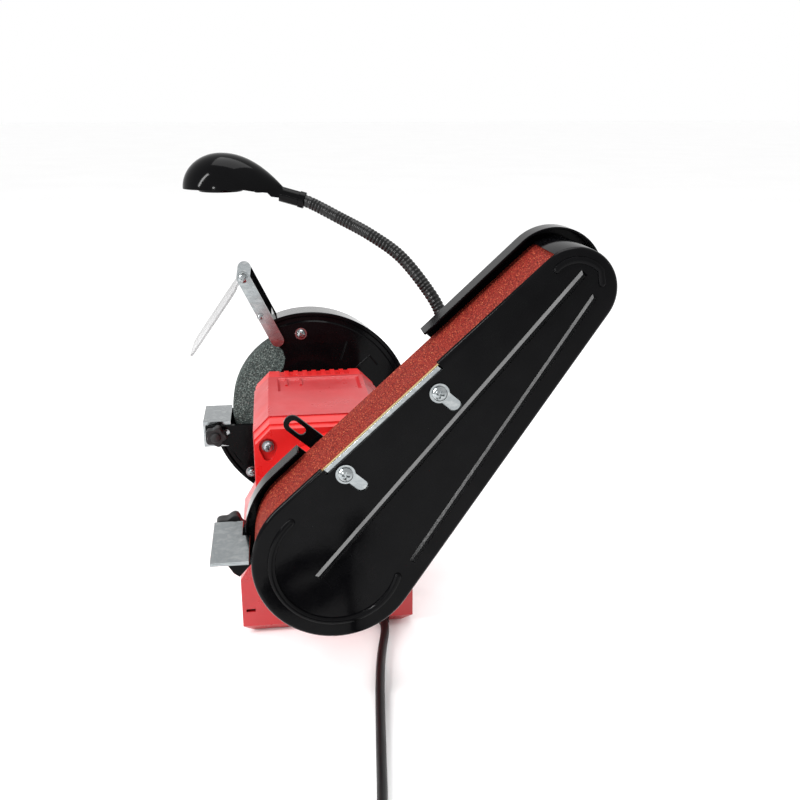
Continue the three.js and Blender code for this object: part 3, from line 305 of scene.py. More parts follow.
def turned(profile, centre=(0, 0), steps=64):
    """A closed profile of (x, radius) turned about X through a point of Y and Z."""
    bm = bmesh.new()
    verts = [bm.verts.new((x, centre[0], centre[1] + r)) for x, r in profile]
    edges = [bm.edges.new(pair) for pair in zip(verts, verts[1:] + verts[:1])]
    bmesh.ops.spin(bm, geom=verts + edges, cent=(0, *centre), axis=(1, 0, 0), angle=2 * math.pi,
                   steps=steps, use_merge=True, use_duplicate=False)
    bmesh.ops.remove_doubles(bm, verts=bm.verts, dist=1e-3)
    bmesh.ops.dissolve_degenerate(bm, edges=bm.edges, dist=1e-4)
    return facing_out(bm)


def block(low, high):
    bm = bmesh.new()
    bmesh.ops.create_cube(bm, size=1)
    bmesh.ops.scale(bm, vec=Vector(high) - Vector(low), verts=bm.verts)
    bmesh.ops.translate(bm, vec=(Vector(high) + Vector(low)) / 2, verts=bm.verts)
    return bm


def moved(bm, matrix):
    bmesh.ops.transform(bm, matrix=matrix, verts=bm.verts)
    return bm


def joined(*parts):
    """Several closed shapes in one mesh."""
    whole = bmesh.new()
    for bm in parts:
        spare = bpy.data.meshes.new("spare")
        bm.to_mesh(spare)
        bm.free()
        whole.from_mesh(spare)
        bpy.data.meshes.remove(spare)
    return whole


def hull(points):
    """The convex shape round some points, with its flat faces whole."""
    bm = bmesh.new()
    made = bmesh.ops.convex_hull(bm, input=[bm.verts.new(p) for p in points])
    bmesh.ops.delete(bm, geom=list({*made["geom_interior"], *made["geom_unused"]}), context="VERTS")
    bmesh.ops.dissolve_limit(bm, angle_limit=0.02, verts=bm.verts, edges=bm.edges)
    return facing_out(bm)


def boolean(bm, how, *tools):
    """bm with each tool cut away from it (DIFFERENCE) or grown onto it (UNION)."""
    objects = []
    for part in (bm, *tools):
        mesh = bpy.data.meshes.new("spare")
        part.to_mesh(mesh)
        part.free()
        objects.append(bpy.data.objects.new("spare", mesh))
        bpy.context.scene.collection.objects.link(objects[-1])
    body = objects[0]
    for tool in objects[1:]:
        change = body.modifiers.new("change", "BOOLEAN")
        change.operation, change.solver, change.object = how, "EXACT", tool
    whole = bmesh.new()
    whole.from_mesh(body.evaluated_get(bpy.context.evaluated_depsgraph_get()).to_mesh())
    for spare in objects:
        mesh = spare.data
        bpy.data.objects.remove(spare)
        bpy.data.meshes.remove(mesh)
    bmesh.ops.remove_doubles(whole, verts=whole.verts, dist=1e-3)
    bmesh.ops.dissolve_limit(whole, angle_limit=0.01, verts=whole.verts, edges=whole.edges)
    return whole


def cut(bm, *tools):
    return boolean(bm, "DIFFERENCE", *tools)


def grown(bm, *tools):
    return boolean(bm, "UNION", *tools)


def finish(name, bm, body, material, stands_for=(), edge=0.0, segments=2, sharp=32):
    """Makes the piece: metres, smooth shading up to the sharp angle, edges rounded to the edge radius.
    A piece with no body is one that bends between two."""
    bmesh.ops.scale(bm, vec=(MM, MM, MM), verts=bm.verts)
    mesh = bpy.data.meshes.new(name)
    bm.to_mesh(mesh)
    bm.free()
    mesh.materials.append(material)
    mesh.shade_smooth()
    mesh.set_sharp_from_angle(angle=math.radians(sharp))
    piece = bpy.data.objects.new(name, mesh)
    bpy.context.scene.collection.objects.link(piece)
    if edge:
        round_off = piece.modifiers.new("rounded_edges", "BEVEL")
        round_off.width, round_off.segments = edge * MM, segments
        round_off.limit_method, round_off.angle_limit = "ANGLE", math.radians(sharp)
        round_off.harden_normals = True
    if body:
        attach(piece, body)
    if stands_for:
        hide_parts(*([stands_for] if isinstance(stands_for, str) else stands_for))
    return piece


def smooth_path(points, step):
    """Points about a step apart on a smooth curve through the given ones."""
    points = [Vector(p) for p in points]
    ends = [2 * points[0] - points[1], *points, 2 * points[-1] - points[-2]]
    line = []
    for a, b, c, d in zip(ends, ends[1:], ends[2:], ends[3:]):
        count = max(1, round((c - b).length / step))
        for i in range(count):
            t = i / count
            line.append(0.5 * (2 * b + (c - a) * t + (2 * a - 5 * b + 4 * c - d) * t * t
                               + (3 * b - a - 3 * c + d) * t ** 3))
    return line + [points[-1]]


def tube_curve(name, line, radius, widths=None, sides=5):
    """A round tube along a line, as a curve of one open spline."""
    curve = bpy.data.curves.new(name, "CURVE")
    curve.dimensions, curve.bevel_depth, curve.bevel_resolution = "3D", radius * MM, sides
    curve.use_fill_caps = True
    spline = curve.splines.new("POLY")
    spline.points.add(len(line) - 1)
    for i, (point, place) in enumerate(zip(spline.points, line)):
        point.co = (*(Vector(place) * MM), 1)
        point.radius = widths[i] if widths else 1.0
    tube = bpy.data.objects.new(name, curve)
    bpy.context.scene.collection.objects.link(tube)
    return tube


def tube_mesh(line, radius, widths=None, sides=5):
    """The same tube as a shape in millimetres, its caps closed."""
    tube = tube_curve("spare_tube", line, radius, widths, sides)
    mesh = bpy.data.meshes.new_from_object(tube.evaluated_get(bpy.context.evaluated_depsgraph_get()))
    curve = tube.data
    bpy.data.objects.remove(tube)
    bpy.data.curves.remove(curve)
    bm = bmesh.new()
    bm.from_mesh(mesh)
    bpy.data.meshes.remove(mesh)
    bmesh.ops.scale(bm, vec=(1 / MM, 1 / MM, 1 / MM), verts=bm.verts)
    bmesh.ops.remove_doubles(bm, verts=bm.verts, dist=1e-3)
    return facing_out(bm)


def bead(points, x, width, height):
    """A pressed rib along points of Y and Z: a round bar flattened onto the sheet at x."""
    bm = tube_mesh([(0, y, z) for y, z in points], width / 2, sides=4)
    tips = [turned([(-width / 2 * math.cos(a), width / 2 * math.sin(a))
                    for a in (math.pi * i / 8 for i in range(9))], end, 16)
            for end in (points[0], points[-1])]
    bm = joined(bm, *tips)
    bmesh.ops.scale(bm, vec=(2 * height / width, 1, 1), verts=bm.verts)
    return moved(bm, Matrix.Translation((x, 0, 0)))


def crease(start, end, x, width, height):
    """A straight pressed ridge with flat sides between two points of Y and Z, on the sheet at x."""
    start, end = Vector(start), Vector(end)
    along = (end - start).normalized()
    across = Vector((-along.y, along.x))
    points = []
    for rise, half, back in ((-0.2, width / 2 + 0.2, 0.0), (height, width / 2 - height / 1.07, height)):
        for place, way in ((start, 1), (end, -1)):
            for side in (-1, 1):
                y, z = place + along * way * back + across * side * half
                points.append((x + rise, y, z))
    return hull(points)


def pan_screw(x, centre, washer_r, head_r, height, shank=4.0, shank_r=2.2):
    """A washer and a cross-recessed pan head that face +X."""
    washer = turned([(x, 0), (x, washer_r), (x + 1, washer_r), (x + 1, 0)], centre, 40)
    top = x + 1
    head = turned([(x - shank, 0), (x - shank, shank_r), (top, shank_r), (top, head_r),
                   (top + height * 0.45, head_r), (top + height * 0.8, head_r * 0.8),
                   (top + height, head_r * 0.4), (top + height, 0)], centre, 40)
    y, z = centre
    arm_half, thin = head_r * 0.55, head_r * 0.13
    cross = [block((top + height * 0.35, y - a, z - b), (top + height + 1, y + a, z + b))
             for a, b in ((arm_half, thin), (thin, arm_half))]
    turn = Matrix.Translation((0, y, z)) @ Matrix.Rotation(0.5, 4, "X") @ Matrix.Translation((0, -y, -z))
    return joined(washer, cut(head, *[moved(c, turn) for c in cross]))


def star_knob(x, away, centre, radius, stud_end):
    """A five-lobed knob on a stud along X; away is 1 or -1."""
    lobes = [(centre[0] + r * math.cos(a), centre[1] + r * math.sin(a)) for a, r in (
        (math.radians(i * 4), radius * (0.88 + 0.12 * math.cos(5 * math.radians(i * 4))))
        for i in range(90))]
    ends = sorted((x + away * 3, x + away * 12))
    cap = turned([(x + away * 11, 0), (x + away * 11, radius * 0.5), (x + away * 14, radius * 0.47),
                  (x + away * 15, radius * 0.3), (x + away * 15, 0)], centre, 32)
    neck = turned([(x, 0), (x, radius * 0.55), (x + away * 4, radius * 0.6), (x + away * 4, 0)],
                  centre, 32)
    stud = turned([(stud_end, 0), (stud_end, 3), (x + away, 3), (x + away, 0)], centre, 20)
    return joined(slab(lobes, *ends), cap, neck, stud)


# ---------------------------------------------------------------- mains cord
LEAD = [(79, 43, 4.2), (88, 42.6, 3.9), (98, 41, 3.6), (113, 37.7, 3.4), (135, 33.8, 3.4),
        (160, 30.4, 3.4), (185, 27.6, 3.4), (210, 25, 3.4), (235, 22.4, 3.4), (260, 19.9, 3.4),
        (285, 17.2, 3.4), (305, 15.5, 3.4), (325, 15, 3.4)]
COIL_CENTRE = (342, -31.7)
COIL_TURNS = (46.7, 39.9, 33.1, 26.3)  # radius of each turn from the outside in
LAYER_Z = (3.4, 10.1)
LAYER_CHANGE = 1320  # degrees round, on the innermost turn
TURN_CHANGES = [(300, 0, 1), (660, 1, 2), (1020, 2, 3), (1620, 3, 2), (1980, 2, 1), (2340, 1, 0)]
PLUG_Z = 11


def coil_point(turn):
    """The coil's middle line at an angle in degrees from where the lead meets it: inwards on the bench,
    up at the innermost turn, and outwards on top."""
    def eased(start):
        """From 0 to 1 within 60 degrees of the start."""
        share = min(1, max(0, (turn - start) / 60))
        return share * share * (3 - 2 * share)

    radius = COIL_TURNS[0] + sum((COIL_TURNS[new] - COIL_TURNS[old]) * eased(start)
                                 for start, old, new in TURN_CHANGES)
    z = LAYER_Z[0] + (LAYER_Z[1] - LAYER_Z[0]) * eased(LAYER_CHANGE)
    angle = math.radians(90 - turn)
    return (COIL_CENTRE[0] + radius * math.cos(angle), COIL_CENTRE[1] + radius * math.sin(angle), z)


def make_cord():
    coil = [coil_point(9 * i) for i in range(281)]  # seven turns
    tail = [(357, 15, 10.6), (366, 15, PLUG_Z), (374, 15, PLUG_Z)]
    line = smooth_path(LEAD, 6) + [Vector(p) for p in coil] + [Vector(p) for p in tail]
    cord = tube_curve("mains_cord", line, CORD_R, sides=4)
    cord.data.materials.append(PVC)
    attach(cord, "stand")
    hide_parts("cord_lead", "cord_coil")

    plug_y = COIL_CENTRE[1] + COIL_TURNS[0]
    relief = turned([(0, 0), (0, CORD_R + 0.8), (4, 4.4), (5, 5.2), (7, 4.6), (9, 5.2), (11, 4.8),
                     (13, 5.6), (15, 5.2), (17, 6), (19, 5.6), (21, 6.3), (28, 6.5), (28, 0)],
                    (plug_y, PLUG_Z), 40)
    moved(relief, Matrix.Translation((COIL_CENTRE[0] + 28, 0, 0)))
    start = COIL_CENTRE[0] + 54
    bulk = slab(rounded(plug_y - 12.5, plug_y + 12.5, 0.2, 21.8, 4), start, start + 34)
    blades = [block((start + 33, plug_y + s * 6.3 - 0.8, PLUG_Z - 1),
                    (start + 51, plug_y + s * 6.3 + 0.8, PLUG_Z + 5.3)) for s in (-1, 1)]
    pin = turned([(start + 33, 0), (start + 33, 2.4), (start + 51, 2.4), (start + 53, 1.2),
                  (start + 53, 0)], (plug_y, PLUG_Z - 6), 24)
    plug = finish("mains_plug", joined(relief, bulk), "stand", PVC, "plug", edge=1.4,
                  segments=3)
    pins = finish("plug_pins", joined(*blades, pin), "stand", STEEL, edge=0.3)
    gland = turned([(54.7, 0), (54.7, 6.5), (60.7, 6.5), (61.5, 5.4), (63.5, 5.4), (64.3, 4.7),
                    (66, 5.1), (67, 4.5), (69, 4.8), (70, 4.3), (72, 4.6), (73, 4.1), (78.7, 4),
                    (78.7, 0)],
                   CORD_EXIT, 40)
    strain = finish("strain_relief", gland, "stand", NYLON, "cord_gland", edge=0.2)
    # it rests on the bench, so what would lie under it is pressed flat
    for vertex in strain.data.vertices:
        vertex.co.z = max(vertex.co.z, 0.0)


# ---------------------------------------------------------------- base
def base_corners(inset, floor):
    """The corners of the base's outer shape, or of the hollow inside it."""
    side, half, bevel, lean = BASE_X - inset, BASE_HALF_DEPTH - inset, 8, 12
    return [(x * sx, y * sy, z) for x, y, z in (
        (side - bevel, half - bevel, floor), (side, half, bevel), (side, half, BASE_SHOULDER_Z),
        (side, half - lean, BASE_TOP_Z - inset)) for sx in (-1, 1) for sy in (-1, 1)]


def make_base():
    hollow = hull(base_corners(BASE_WALL, -1))
    mouth = turned([(65, 0), (65, 5.1), (90, 5.1), (90, 0)], CORD_EXIT, 32)
    hole = block((-13, -90, 19), (13, -30, 39))  # for the switch
    mark = block((73, -63, 20.2), (79, -56, 22.6))
    shell = cut(hull(base_corners(0, 0)), hollow, mouth, hole, mark)
    finish("base_shell", shell, "stand", RED_ABS, "base_housing", edge=1.2, segments=3)

    frame_ring = slab(rounded(-16, 16, 16, 42, 2.5), 0, 1.7, [rounded(-10, 10, 21.5, 36.5, 1)])
    sleeve = slab(rounded(-12.6, 12.6, 19.4, 38.6, 1), 1, 20, [rounded(-10, 10, 21.5, 36.5, 1)])
    # the frame is made lying along X and then turned to face the operator
    to_front = Matrix(((0, 1, 0, 0), (1, 0, 0, -68), (0, 0, 1, 0), (0, 0, 0, 1)))
    bezel = facing_out(moved(joined(frame_ring, sleeve), to_front))
    finish("switch_bezel", bezel, "stand", NYLON, "switch_frame", edge=0.5)
    dished = [(-67.6, 22.4), (-66.6, 25), (-66.2, 29), (-67.4, 32.6), (-69.4, 35.6), (-64, 35.6),
              (-61.5, 29), (-64, 22.4)]
    finish("switch_button", slab(dished, -9.4, 9.4), "rocker", NYLON,
           "switch_rocker", edge=0.6)


# ---------------------------------------------------------------- motor
def motor_outline(inset, foot=BASE_TOP_Z + 0.3):
    """The motor's section in Y and Z, from its foot on the base up to the chamfered roof."""
    side, top, chamfer = MOTOR_HALF_DEPTH - inset, MOTOR_TOP - inset, MOTOR_CHAMFER - inset * 0.4
    return [(-side, foot), (side, foot), (side, top - chamfer), (side - chamfer, top),
            (chamfer - side, top), (-side, top - chamfer)]


def make_motor():
    body = slab(motor_outline(0), -BODY_X, BODY_X)
    hollow = slab(motor_outline(3, 60), -BODY_X + 3, BODY_X - 3)
    # a shallow pocket in the roof with sloped sides, and a groove across the front chamfer
    pocket = hull([(x, y, z) for x0, x1, y0, y1, z in (
        (-46, -12, -30, 34, MOTOR_TOP - 1.6), (-49, -8, -34, 39, MOTOR_TOP + 1.6))
        for x in (x0, x1) for y in (y0, y1)])
    groove = block((-42, -52.4, 155.4), (-22, -50.8, 156.2))
    shell = cut(body, hollow, pocket, groove)
    louvres = [slab([(y, 168), (y, 169.7), (y + 2.4, 169.7), (y + 2.4, 168)], -47, -30)
               for y in (-26, -14)]
    finish("motor_shell", joined(shell, *louvres), "stand", RED_ABS, "motor_body",
           edge=0.9, segments=2)

    for side, name, spigot_end in ((1, "right", 127.7), (-1, "left", 126.2)):
        steps = grown(slab(motor_outline(1), 52.3, 68), slab(motor_outline(2), 67, BASE_X))
        hollow = slab(motor_outline(5, 60), 50, 72)
        neck = turned([(60, 24), (spigot_end, 24), (spigot_end, 30), (102, 30), (100, 32), (100, 41),
                       (99, 42), (74, 42), (60, 42)], (0, SHAFT_Z), 72)
        bore = turned([(40, 0), (40, 24), (140, 24), (140, 0)], (0, SHAFT_Z), 48)
        bell = cut(grown(cut(steps, hollow), neck), bore)
        if side == 1:
            boss = turned([(74, 0), (74, 13), (85, 13), (86, 12), (86, 8), (83, 7), (83, 0)],
                          (3, 151), 48)
            bell = grown(bell, boss)
            # teardrop pocket round the screw
            drop = (arc(BELL_SCREW, 6.6, -15, 195, 20)
                    + arc((BELL_SCREW[0], BELL_SCREW[1] - 7.1), 4, 195, 345, 12))
            bell = cut(bell, slab(drop, 74, 90))
            bell = grown(bell, turned([(70, 0), (70, 4.6), (75.4, 4.6), (75.4, 0)], BELL_SCREW, 32))
        if side == -1:
            vents = [block((58, y, 167), (80, y + 4, 175)) for y in range(-30, 34, 8)]
            bell = moved(cut(bell, *vents), Matrix.Scale(-1, 4, (1, 0, 0)))
        finish(f"end_bell_{name}_cover", facing_out(bell), "stand", RED_ENAMEL,
               f"end_bell_{name}", edge=0.8, segments=2)
    screw = pan_screw(75, BELL_SCREW, 4.4, 3.6, 3, shank=2)
    finish("end_bell_fixing", screw, "stand", STEEL, "end_bell_screw", edge=0.25)


# ---------------------------------------------------------------- shaft and grinding wheel
def hexagon_nut(x0, x1, across):
    """A nut on the shaft, by its width across flats."""
    corner = across / math.sqrt(3)
    points = arc((0, SHAFT_Z), corner, 0, 300, 5)
    return slab(points, x0, x1, [round_hole((0, SHAFT_Z), SHAFT_BORE_R, 45)])


def make_shaft():
    axis = (0, SHAFT_Z)
    shaft = turned([(-175.6, 0), (-175.6, 6.8), (-174.4, 8), (184.3, 8), (185.5, 6.8), (185.5, 0)], axis)
    finish("motor_spindle", shaft, "shaft", STEEL, "motor_shaft")
    near, far = WHEEL_FACES[1], WHEEL_FACES[0]
    wheel = turned([(far, SHAFT_BORE_R), (near, SHAFT_BORE_R), (near, 73), (near - 0.6, 74.4),
                    (near - 2, 75), (far + 2, 75), (far + 0.6, 74.4), (far, 73)], axis, 128)
    finish("grit_wheel", wheel, "shaft", STONE, "grinding_wheel")
    for name, face, out in (("wheel_flange_inner", near, 1), ("wheel_flange_outer", far, -1)):
        flange = turned([(face + out * 6, SHAFT_BORE_R), (face + out * 0.3, SHAFT_BORE_R),
                         (face + out * 0.3, 27), (face + out * 2.6, 27), (face + out * 3.6, 25),
                         (face + out * 6, 19)], axis)
        finish(f"pressed_{name}", flange, "shaft", STEEL, name, edge=0.3)
    for name, nut in (("wheel", hexagon_nut(-170.6, -163.9, 24)),
                      ("drive", hexagon_nut(176.3, 183, 22))):
        finish(f"{name}_hex_nut", nut, "shaft", STEEL, f"{name}_nut", edge=0.6)
    drive = turned([(135.5, SHAFT_BORE_R), (176, SHAFT_BORE_R), (176, 14), (164, 18), (164, 44.2),
                    (182, 46.2), (183, 47), (183, 49.6), (159, 50.2), (135.5, 49.6), (135.5, 45),
                    (143.5, 44.2), (143.5, 18), (135.5, 14)], axis, 96)
    finish("drive_pulley", drive, "shaft", ALUMINIUM, "drive_wheel", edge=0.4)


# ---------------------------------------------------------------- guard, shield and wheel rest
GUARD_MOUTH = [(-101, 103), (-52, 103), (-40, 125), (-34, 145), (-26, 157), (-24, 166), (-26, 174),
               (-35, 182), (-35, 218), (-101, 218)]


def make_guard():
    axis = (0, SHAFT_Z)
    rim, back = GUARD_R, GUARD_R - GUARD_TAPER
    drum = turned([(GUARD_X, 20), (GUARD_X, rim - 9), (GUARD_X - 1.4, rim - 7.6),
                   (GUARD_X - 1.4, rim - 4.4), (GUARD_X, rim - 3), (GUARD_X, rim - 0.8),
                   (GUARD_X - 0.8, rim), (GUARD_END, back), (GUARD_END, back - SHEET),
                   (GUARD_X - 3.4, rim - SHEET), (GUARD_X - 3.4, rim - 8), (GUARD_X - 2, rim - 10),
                   (GUARD_X - 2, 20)], axis, 144)
    mouth = slab(GUARD_MOUTH, GUARD_END - 5, GUARD_X + 5)
    lip = block((GUARD_END + 8, -1, rim - 12), (GUARD_X - 3, 1, rim + 3))
    marks = [bead(points, GUARD_X, 2.0, 0.7) for points in (
        [(27.6, 163), (33.5, 179.5)], [(43, 155), (55, 166), (62, 157.5)])]
    shell = joined(cut(drum, mouth), moved(lip, tilted(21.6)), *marks)
    finish("wheel_guard_drum", shell, "stand", POWDER_COAT, "guard_shell", edge=0.35)
    disc = turned([(-179.8, 0), (-179.8, back - 1), (-179.2, back), (-178.3, back), (-178.3, 0)],
                  axis, 144)
    outer = cut(disc, slab(GUARD_MOUTH, -185, -170))
    finish("wheel_guard_side", outer, "stand", POWDER_COAT, "guard_cover", edge=0.35)
    for name, at in (("guard_screw_upper", (-8.7, 189.5)), ("guard_screw_lower", (-60, 55))):
        screw = pan_screw(GUARD_X + 0.3, at, 5.5, 4, 3.2, shank=4)
        finish(f"{name}_head", screw, "stand", ZINC, name, edge=0.2)
    deflect = moved(block((GUARD_END + 6, -0.8, 77.5), (GUARD_X - 6, 0.8, rim + 6)), tilted(24))
    finish("spark_flap", deflect, "deflector", POWDER_COAT, "spark_deflector", edge=0.3)


def make_shield():
    tab = (SHIELD_PIVOT[0] + 1.5, SHIELD_PIVOT[1] + 9)
    bore = round_hole(SHIELD_PIVOT, PIN_BORE_R)
    # the same bar on both sides of the guard: drawn in zinc on the near side and in black on the far
    # side, behind the guard
    for name, x, look, slot in (("shield_arm_near", -126.2, ZINC, "zinc"),
                                ("shield_arm_far", -182.3, POWDER_COAT, "black_steel")):
        bar = slab(capsule(ARM_FOOT, SHIELD_PIVOT, BAR_R, 16), x, x + 2, [bore])
        parts = [bar]
        if name == "shield_arm_near":
            end = slab(capsule(SHIELD_PIVOT, tab, BAR_R, 16), x + 0.02, x + 1.98)
            parts = [cut(grown(bar, end), slab(bore, x - 1, x + 3)),
                     pan_screw(x + 1.9, (-45, 207), 3.2, 2.4, 1.6, shank=0.5)]
        finish(f"{name}_bar", joined(*parts), "stand", look, name, edge=0.4)
    rod = joined(turned([(-186.3, 0), (-186.3, 5.2), (-182.6, 5.5), (-182.6, 3), (-123.9, 3),
                         (-123.9, 0)], SHIELD_PIVOT, 40),
                 pan_screw(-124, SHIELD_PIVOT, 5.5, 4.4, 2.8, shank=1))
    finish("shield_pivot_pin", rod, "stand", ZINC, "shield_rod", edge=0.25)

    flat = slab(rounded(-182.6, -112.6, -87, -10.5, 12, 10), -1, 1)
    web = block((-1, -178.3, -11.5), (1, -128.2, -5))
    # made facing X, then turned to face the operator and tilted about its rod
    face = Matrix(((0, 1, 0, 0), (-1, 0, 0, 0), (0, 0, 1, 0), (0, 0, 0, 1)))
    sheet = moved(grown(flat, web), face)
    barrel = turned([(-180, PIN_BORE_R), (-126.5, PIN_BORE_R), (-126.5, 5.5), (-180, 5.5)], (0, 0), 40)
    clear_bore = turned([(-185, 0), (-185, PIN_BORE_R), (-120, PIN_BORE_R), (-120, 0)], (0, 0), 40)
    shield = cut(grown(barrel, sheet), clear_bore)
    finish("clear_shield", moved(shield, tilted(SHIELD_TILT, SHIELD_PIVOT)), "shield", CLEAR,
           "eye_shield", edge=0.5, segments=3)


def make_wheel_rest():
    knob = (-91, 97)
    plate = slab([(-103.1, 108), (-103.1, 105.8), (-77.1, 105.8), (-77.1, 108)], -173.7, -123.7)
    flange = slab([(-103.1, 83), (-77.1, 83), (-77.1, 107), (-103.1, 107)], -125.9, -123.7,
                  [round_hole(knob, PIN_BORE_R)])
    finish("wheel_tool_rest", grown(plate, flange), "wheel_work_rest", ZINC, "wheel_rest",
           edge=0.7)
    side = [(-101, 88), (-101, 104), (-57, 104), (-54, 98), (-54, 62), (-66, 62), (-80, 84)]
    plate = slab(side, -123.4, -121.4, [capsule((-97, 97), (-82, 97), 3.5)])
    foot = block((-126.2, -62, 63), (-122.9, -54.5, 80))
    finish("wheel_rest_strap", joined(plate, foot), "stand", POWDER_COAT,
           "wheel_rest_bracket", edge=0.35)
    finish("wheel_rest_star_knob", star_knob(-121.1, 1, knob, 10, -125.7), "wheel_rest_clamp", NYLON,
           "wheel_rest_knob", edge=0.8, segments=3)


# ---------------------------------------------------------------- belt arm
BELT_OUTER = (DRIVE_R + 1, IDLER_R + 1)
COVER_INNER = (BELT_OUTER[0] + 0.9, BELT_OUTER[1] + 0.9)
COVER_OUTER = (COVER_INNER[0] + COVER_T, COVER_INNER[1] + COVER_T)
TRAY_OUTER = (BELT_OUTER[0] + 6.5, BELT_OUTER[1] + 8.4)
SCREWS = {"platen_screw_lower": (50.6, 34.7), "platen_screw_upper": (126, 23.3)}
PLATEN_SPAN = (43, 139)
TRAY_MOUTH = (31, 144)


def make_tray():
    plate = slab(belt_line(*TRAY_OUTER), TRAY_X, TRAY_X + SHEET,
                 [round_hole((0, 0), 24.3, 45), capsule((187, 0), (202, 0), 4)])
    wall = cut(slab(belt_line(*TRAY_OUTER), TRAY_X + 1, TRAY_X + 15),
               slab(belt_line(TRAY_OUTER[0] - SHEET, TRAY_OUTER[1] - SHEET), TRAY_X - 2, TRAY_X + 20))
    lug = block((TRAY_X + 1, 130, -12), (TRAY_X + 16, 133, 2))
    sill = [belt_height(DRIVE_R, IDLER_R, s) - 2 for s in TRAY_MOUTH]
    mouth = slab([(TRAY_MOUTH[0], sill[0]), (TRAY_MOUTH[1], sill[1]), (TRAY_MOUTH[1], 80),
                  (TRAY_MOUTH[0], 80)], TRAY_X - 5, TRAY_X + 50)
    tray = moved(cut(grown(plate, wall, lug), mouth), ARM)
    finish("belt_back_tray", tray, "belt_arm", POWDER_COAT, "belt_tray", edge=0.4)
    bar = slab(capsule((40.5, 36), (40.5, 66), BAR_R, 16), TRAY_X - 2.5, TRAY_X - 0.3,
               [capsule((40.5, 58.5), (40.5, 65), 3.1)])
    finish("slotted_stop_bar", moved(bar, ARM), "belt_arm", POWDER_COAT, "slotted_bar",
           edge=0.35)


def make_cover():
    end = COVER_X + COVER_T

    def rounded_slab(outline, x0, x1, radius):
        bm = slab(outline, x0, x1)
        rim = [e for e in bm.edges if all(abs(v.co.x - x1) < 1e-4 for v in e.verts)]
        bmesh.ops.bevel(bm, geom=rim, offset=radius, offset_type="OFFSET", segments=4, profile=0.5,
                        affect="EDGES", material=-1, clamp_overlap=True)
        return bm

    outer = rounded_slab(belt_line(*COVER_OUTER), 136, end, 3.0)
    inner = rounded_slab(belt_line(*COVER_INNER), 130, COVER_X, 1.8)
    open_side = slab([(-80, 26), (0, 20), (233, 5), (233, 80), (-80, 80)], 129, COVER_X - 1.2)
    low, high = PLATEN_SPAN
    edge = [belt_height(*COVER_OUTER, s) for s in PLATEN_SPAN]
    step = slab([(low, edge[0] - 5.6), (high, edge[1] - 5.6), (high, edge[1] + 5), (low, edge[0] + 5)],
                COVER_X - 5, end + 3)
    slots = [slab(capsule(at, (at[0], at[1] - 13), 4), COVER_X - 5, end + 3) for at in SCREWS.values()]
    shell = cut(outer, inner, open_side, step, *slots)
    ribs = [
        crease((237, 4), (-15, 3), end, 4.8, 1.8),
        crease((231, -11), (30, -38), end, 4.2, 1.5),
        bead([(227, 18.5), *arc((CENTRES, 0), 19, 78, -8, 10), (239, -9)], end, 4.6, 1.8),
        bead([*arc((0, 0), 41, 83, 294, 30)], end, 5.0, 1.7),
    ]
    cover = moved(joined(shell, *ribs), ARM)
    finish("belt_outer_cover", cover, "belt_arm", POWDER_COAT, "belt_cover", edge=0.3)


def make_platen():
    def under(s):
        """The inside of the belt's upper straight, a gap away."""
        return belt_height(DRIVE_R, IDLER_R, s) - 0.3

    start, stop = PLATEN_SPAN[0] + 1, PLATEN_SPAN[1] - 1
    top = slab([(start, under(start)), (start, under(start) - 2), (stop, under(stop) - 2),
                (stop, under(stop))], 136, 186.7)
    (low_s, low_n), (up_s, up_n) = SCREWS.values()
    flange = slab([(start, under(start) + 0.8), (start, low_n - 18), (low_s + 10, low_n - 18),
                   (low_s + 14, under(low_s + 14) - 10), (up_s - 14, under(up_s - 14) - 10),
                   (up_s - 10, up_n - 18), (stop, up_n - 18), (stop, under(stop) + 0.8)], 185.2, 186.7,
                  [arc(at, 2.8, 0, 350, 20) for at in SCREWS.values()])
    plate = moved(grown(top, flange), ARM)
    finish("belt_platen", plate, "belt_arm", ZINC, "platen", edge=0.35)
    seat = COVER_X + COVER_T + 0.3
    for name, at in SCREWS.items():
        screw = moved(pan_screw(seat, at, 6.2, 4.6, 3, shank=6, shank_r=2.5), ARM)
        finish(f"{name}_head", screw, "belt_arm", ZINC, name, edge=0.25)


def make_belt():
    bm = bmesh.new()
    outlines = (belt_line(*BELT_OUTER, 60), belt_line(DRIVE_R, IDLER_R, 60))
    loops = [loop_of(bm, outlines[0], BELT_X[0]), loop_of(bm, outlines[0], BELT_X[1]),
             loop_of(bm, outlines[1], BELT_X[1]), loop_of(bm, outlines[1], BELT_X[0])]
    for i, (a, b) in enumerate(zip(loops, loops[1:] + loops[:1])):
        for face in bmesh.ops.bridge_loops(bm, edges=a + b)["faces"]:
            face.material_index = i % 2  # the two edges show the cloth
    belt = finish("abrasive_band", moved(facing_out(bm), ARM), "belt_arm", GRIT,
                  "abrasive_belt")
    belt.data.materials.append(BACKING)


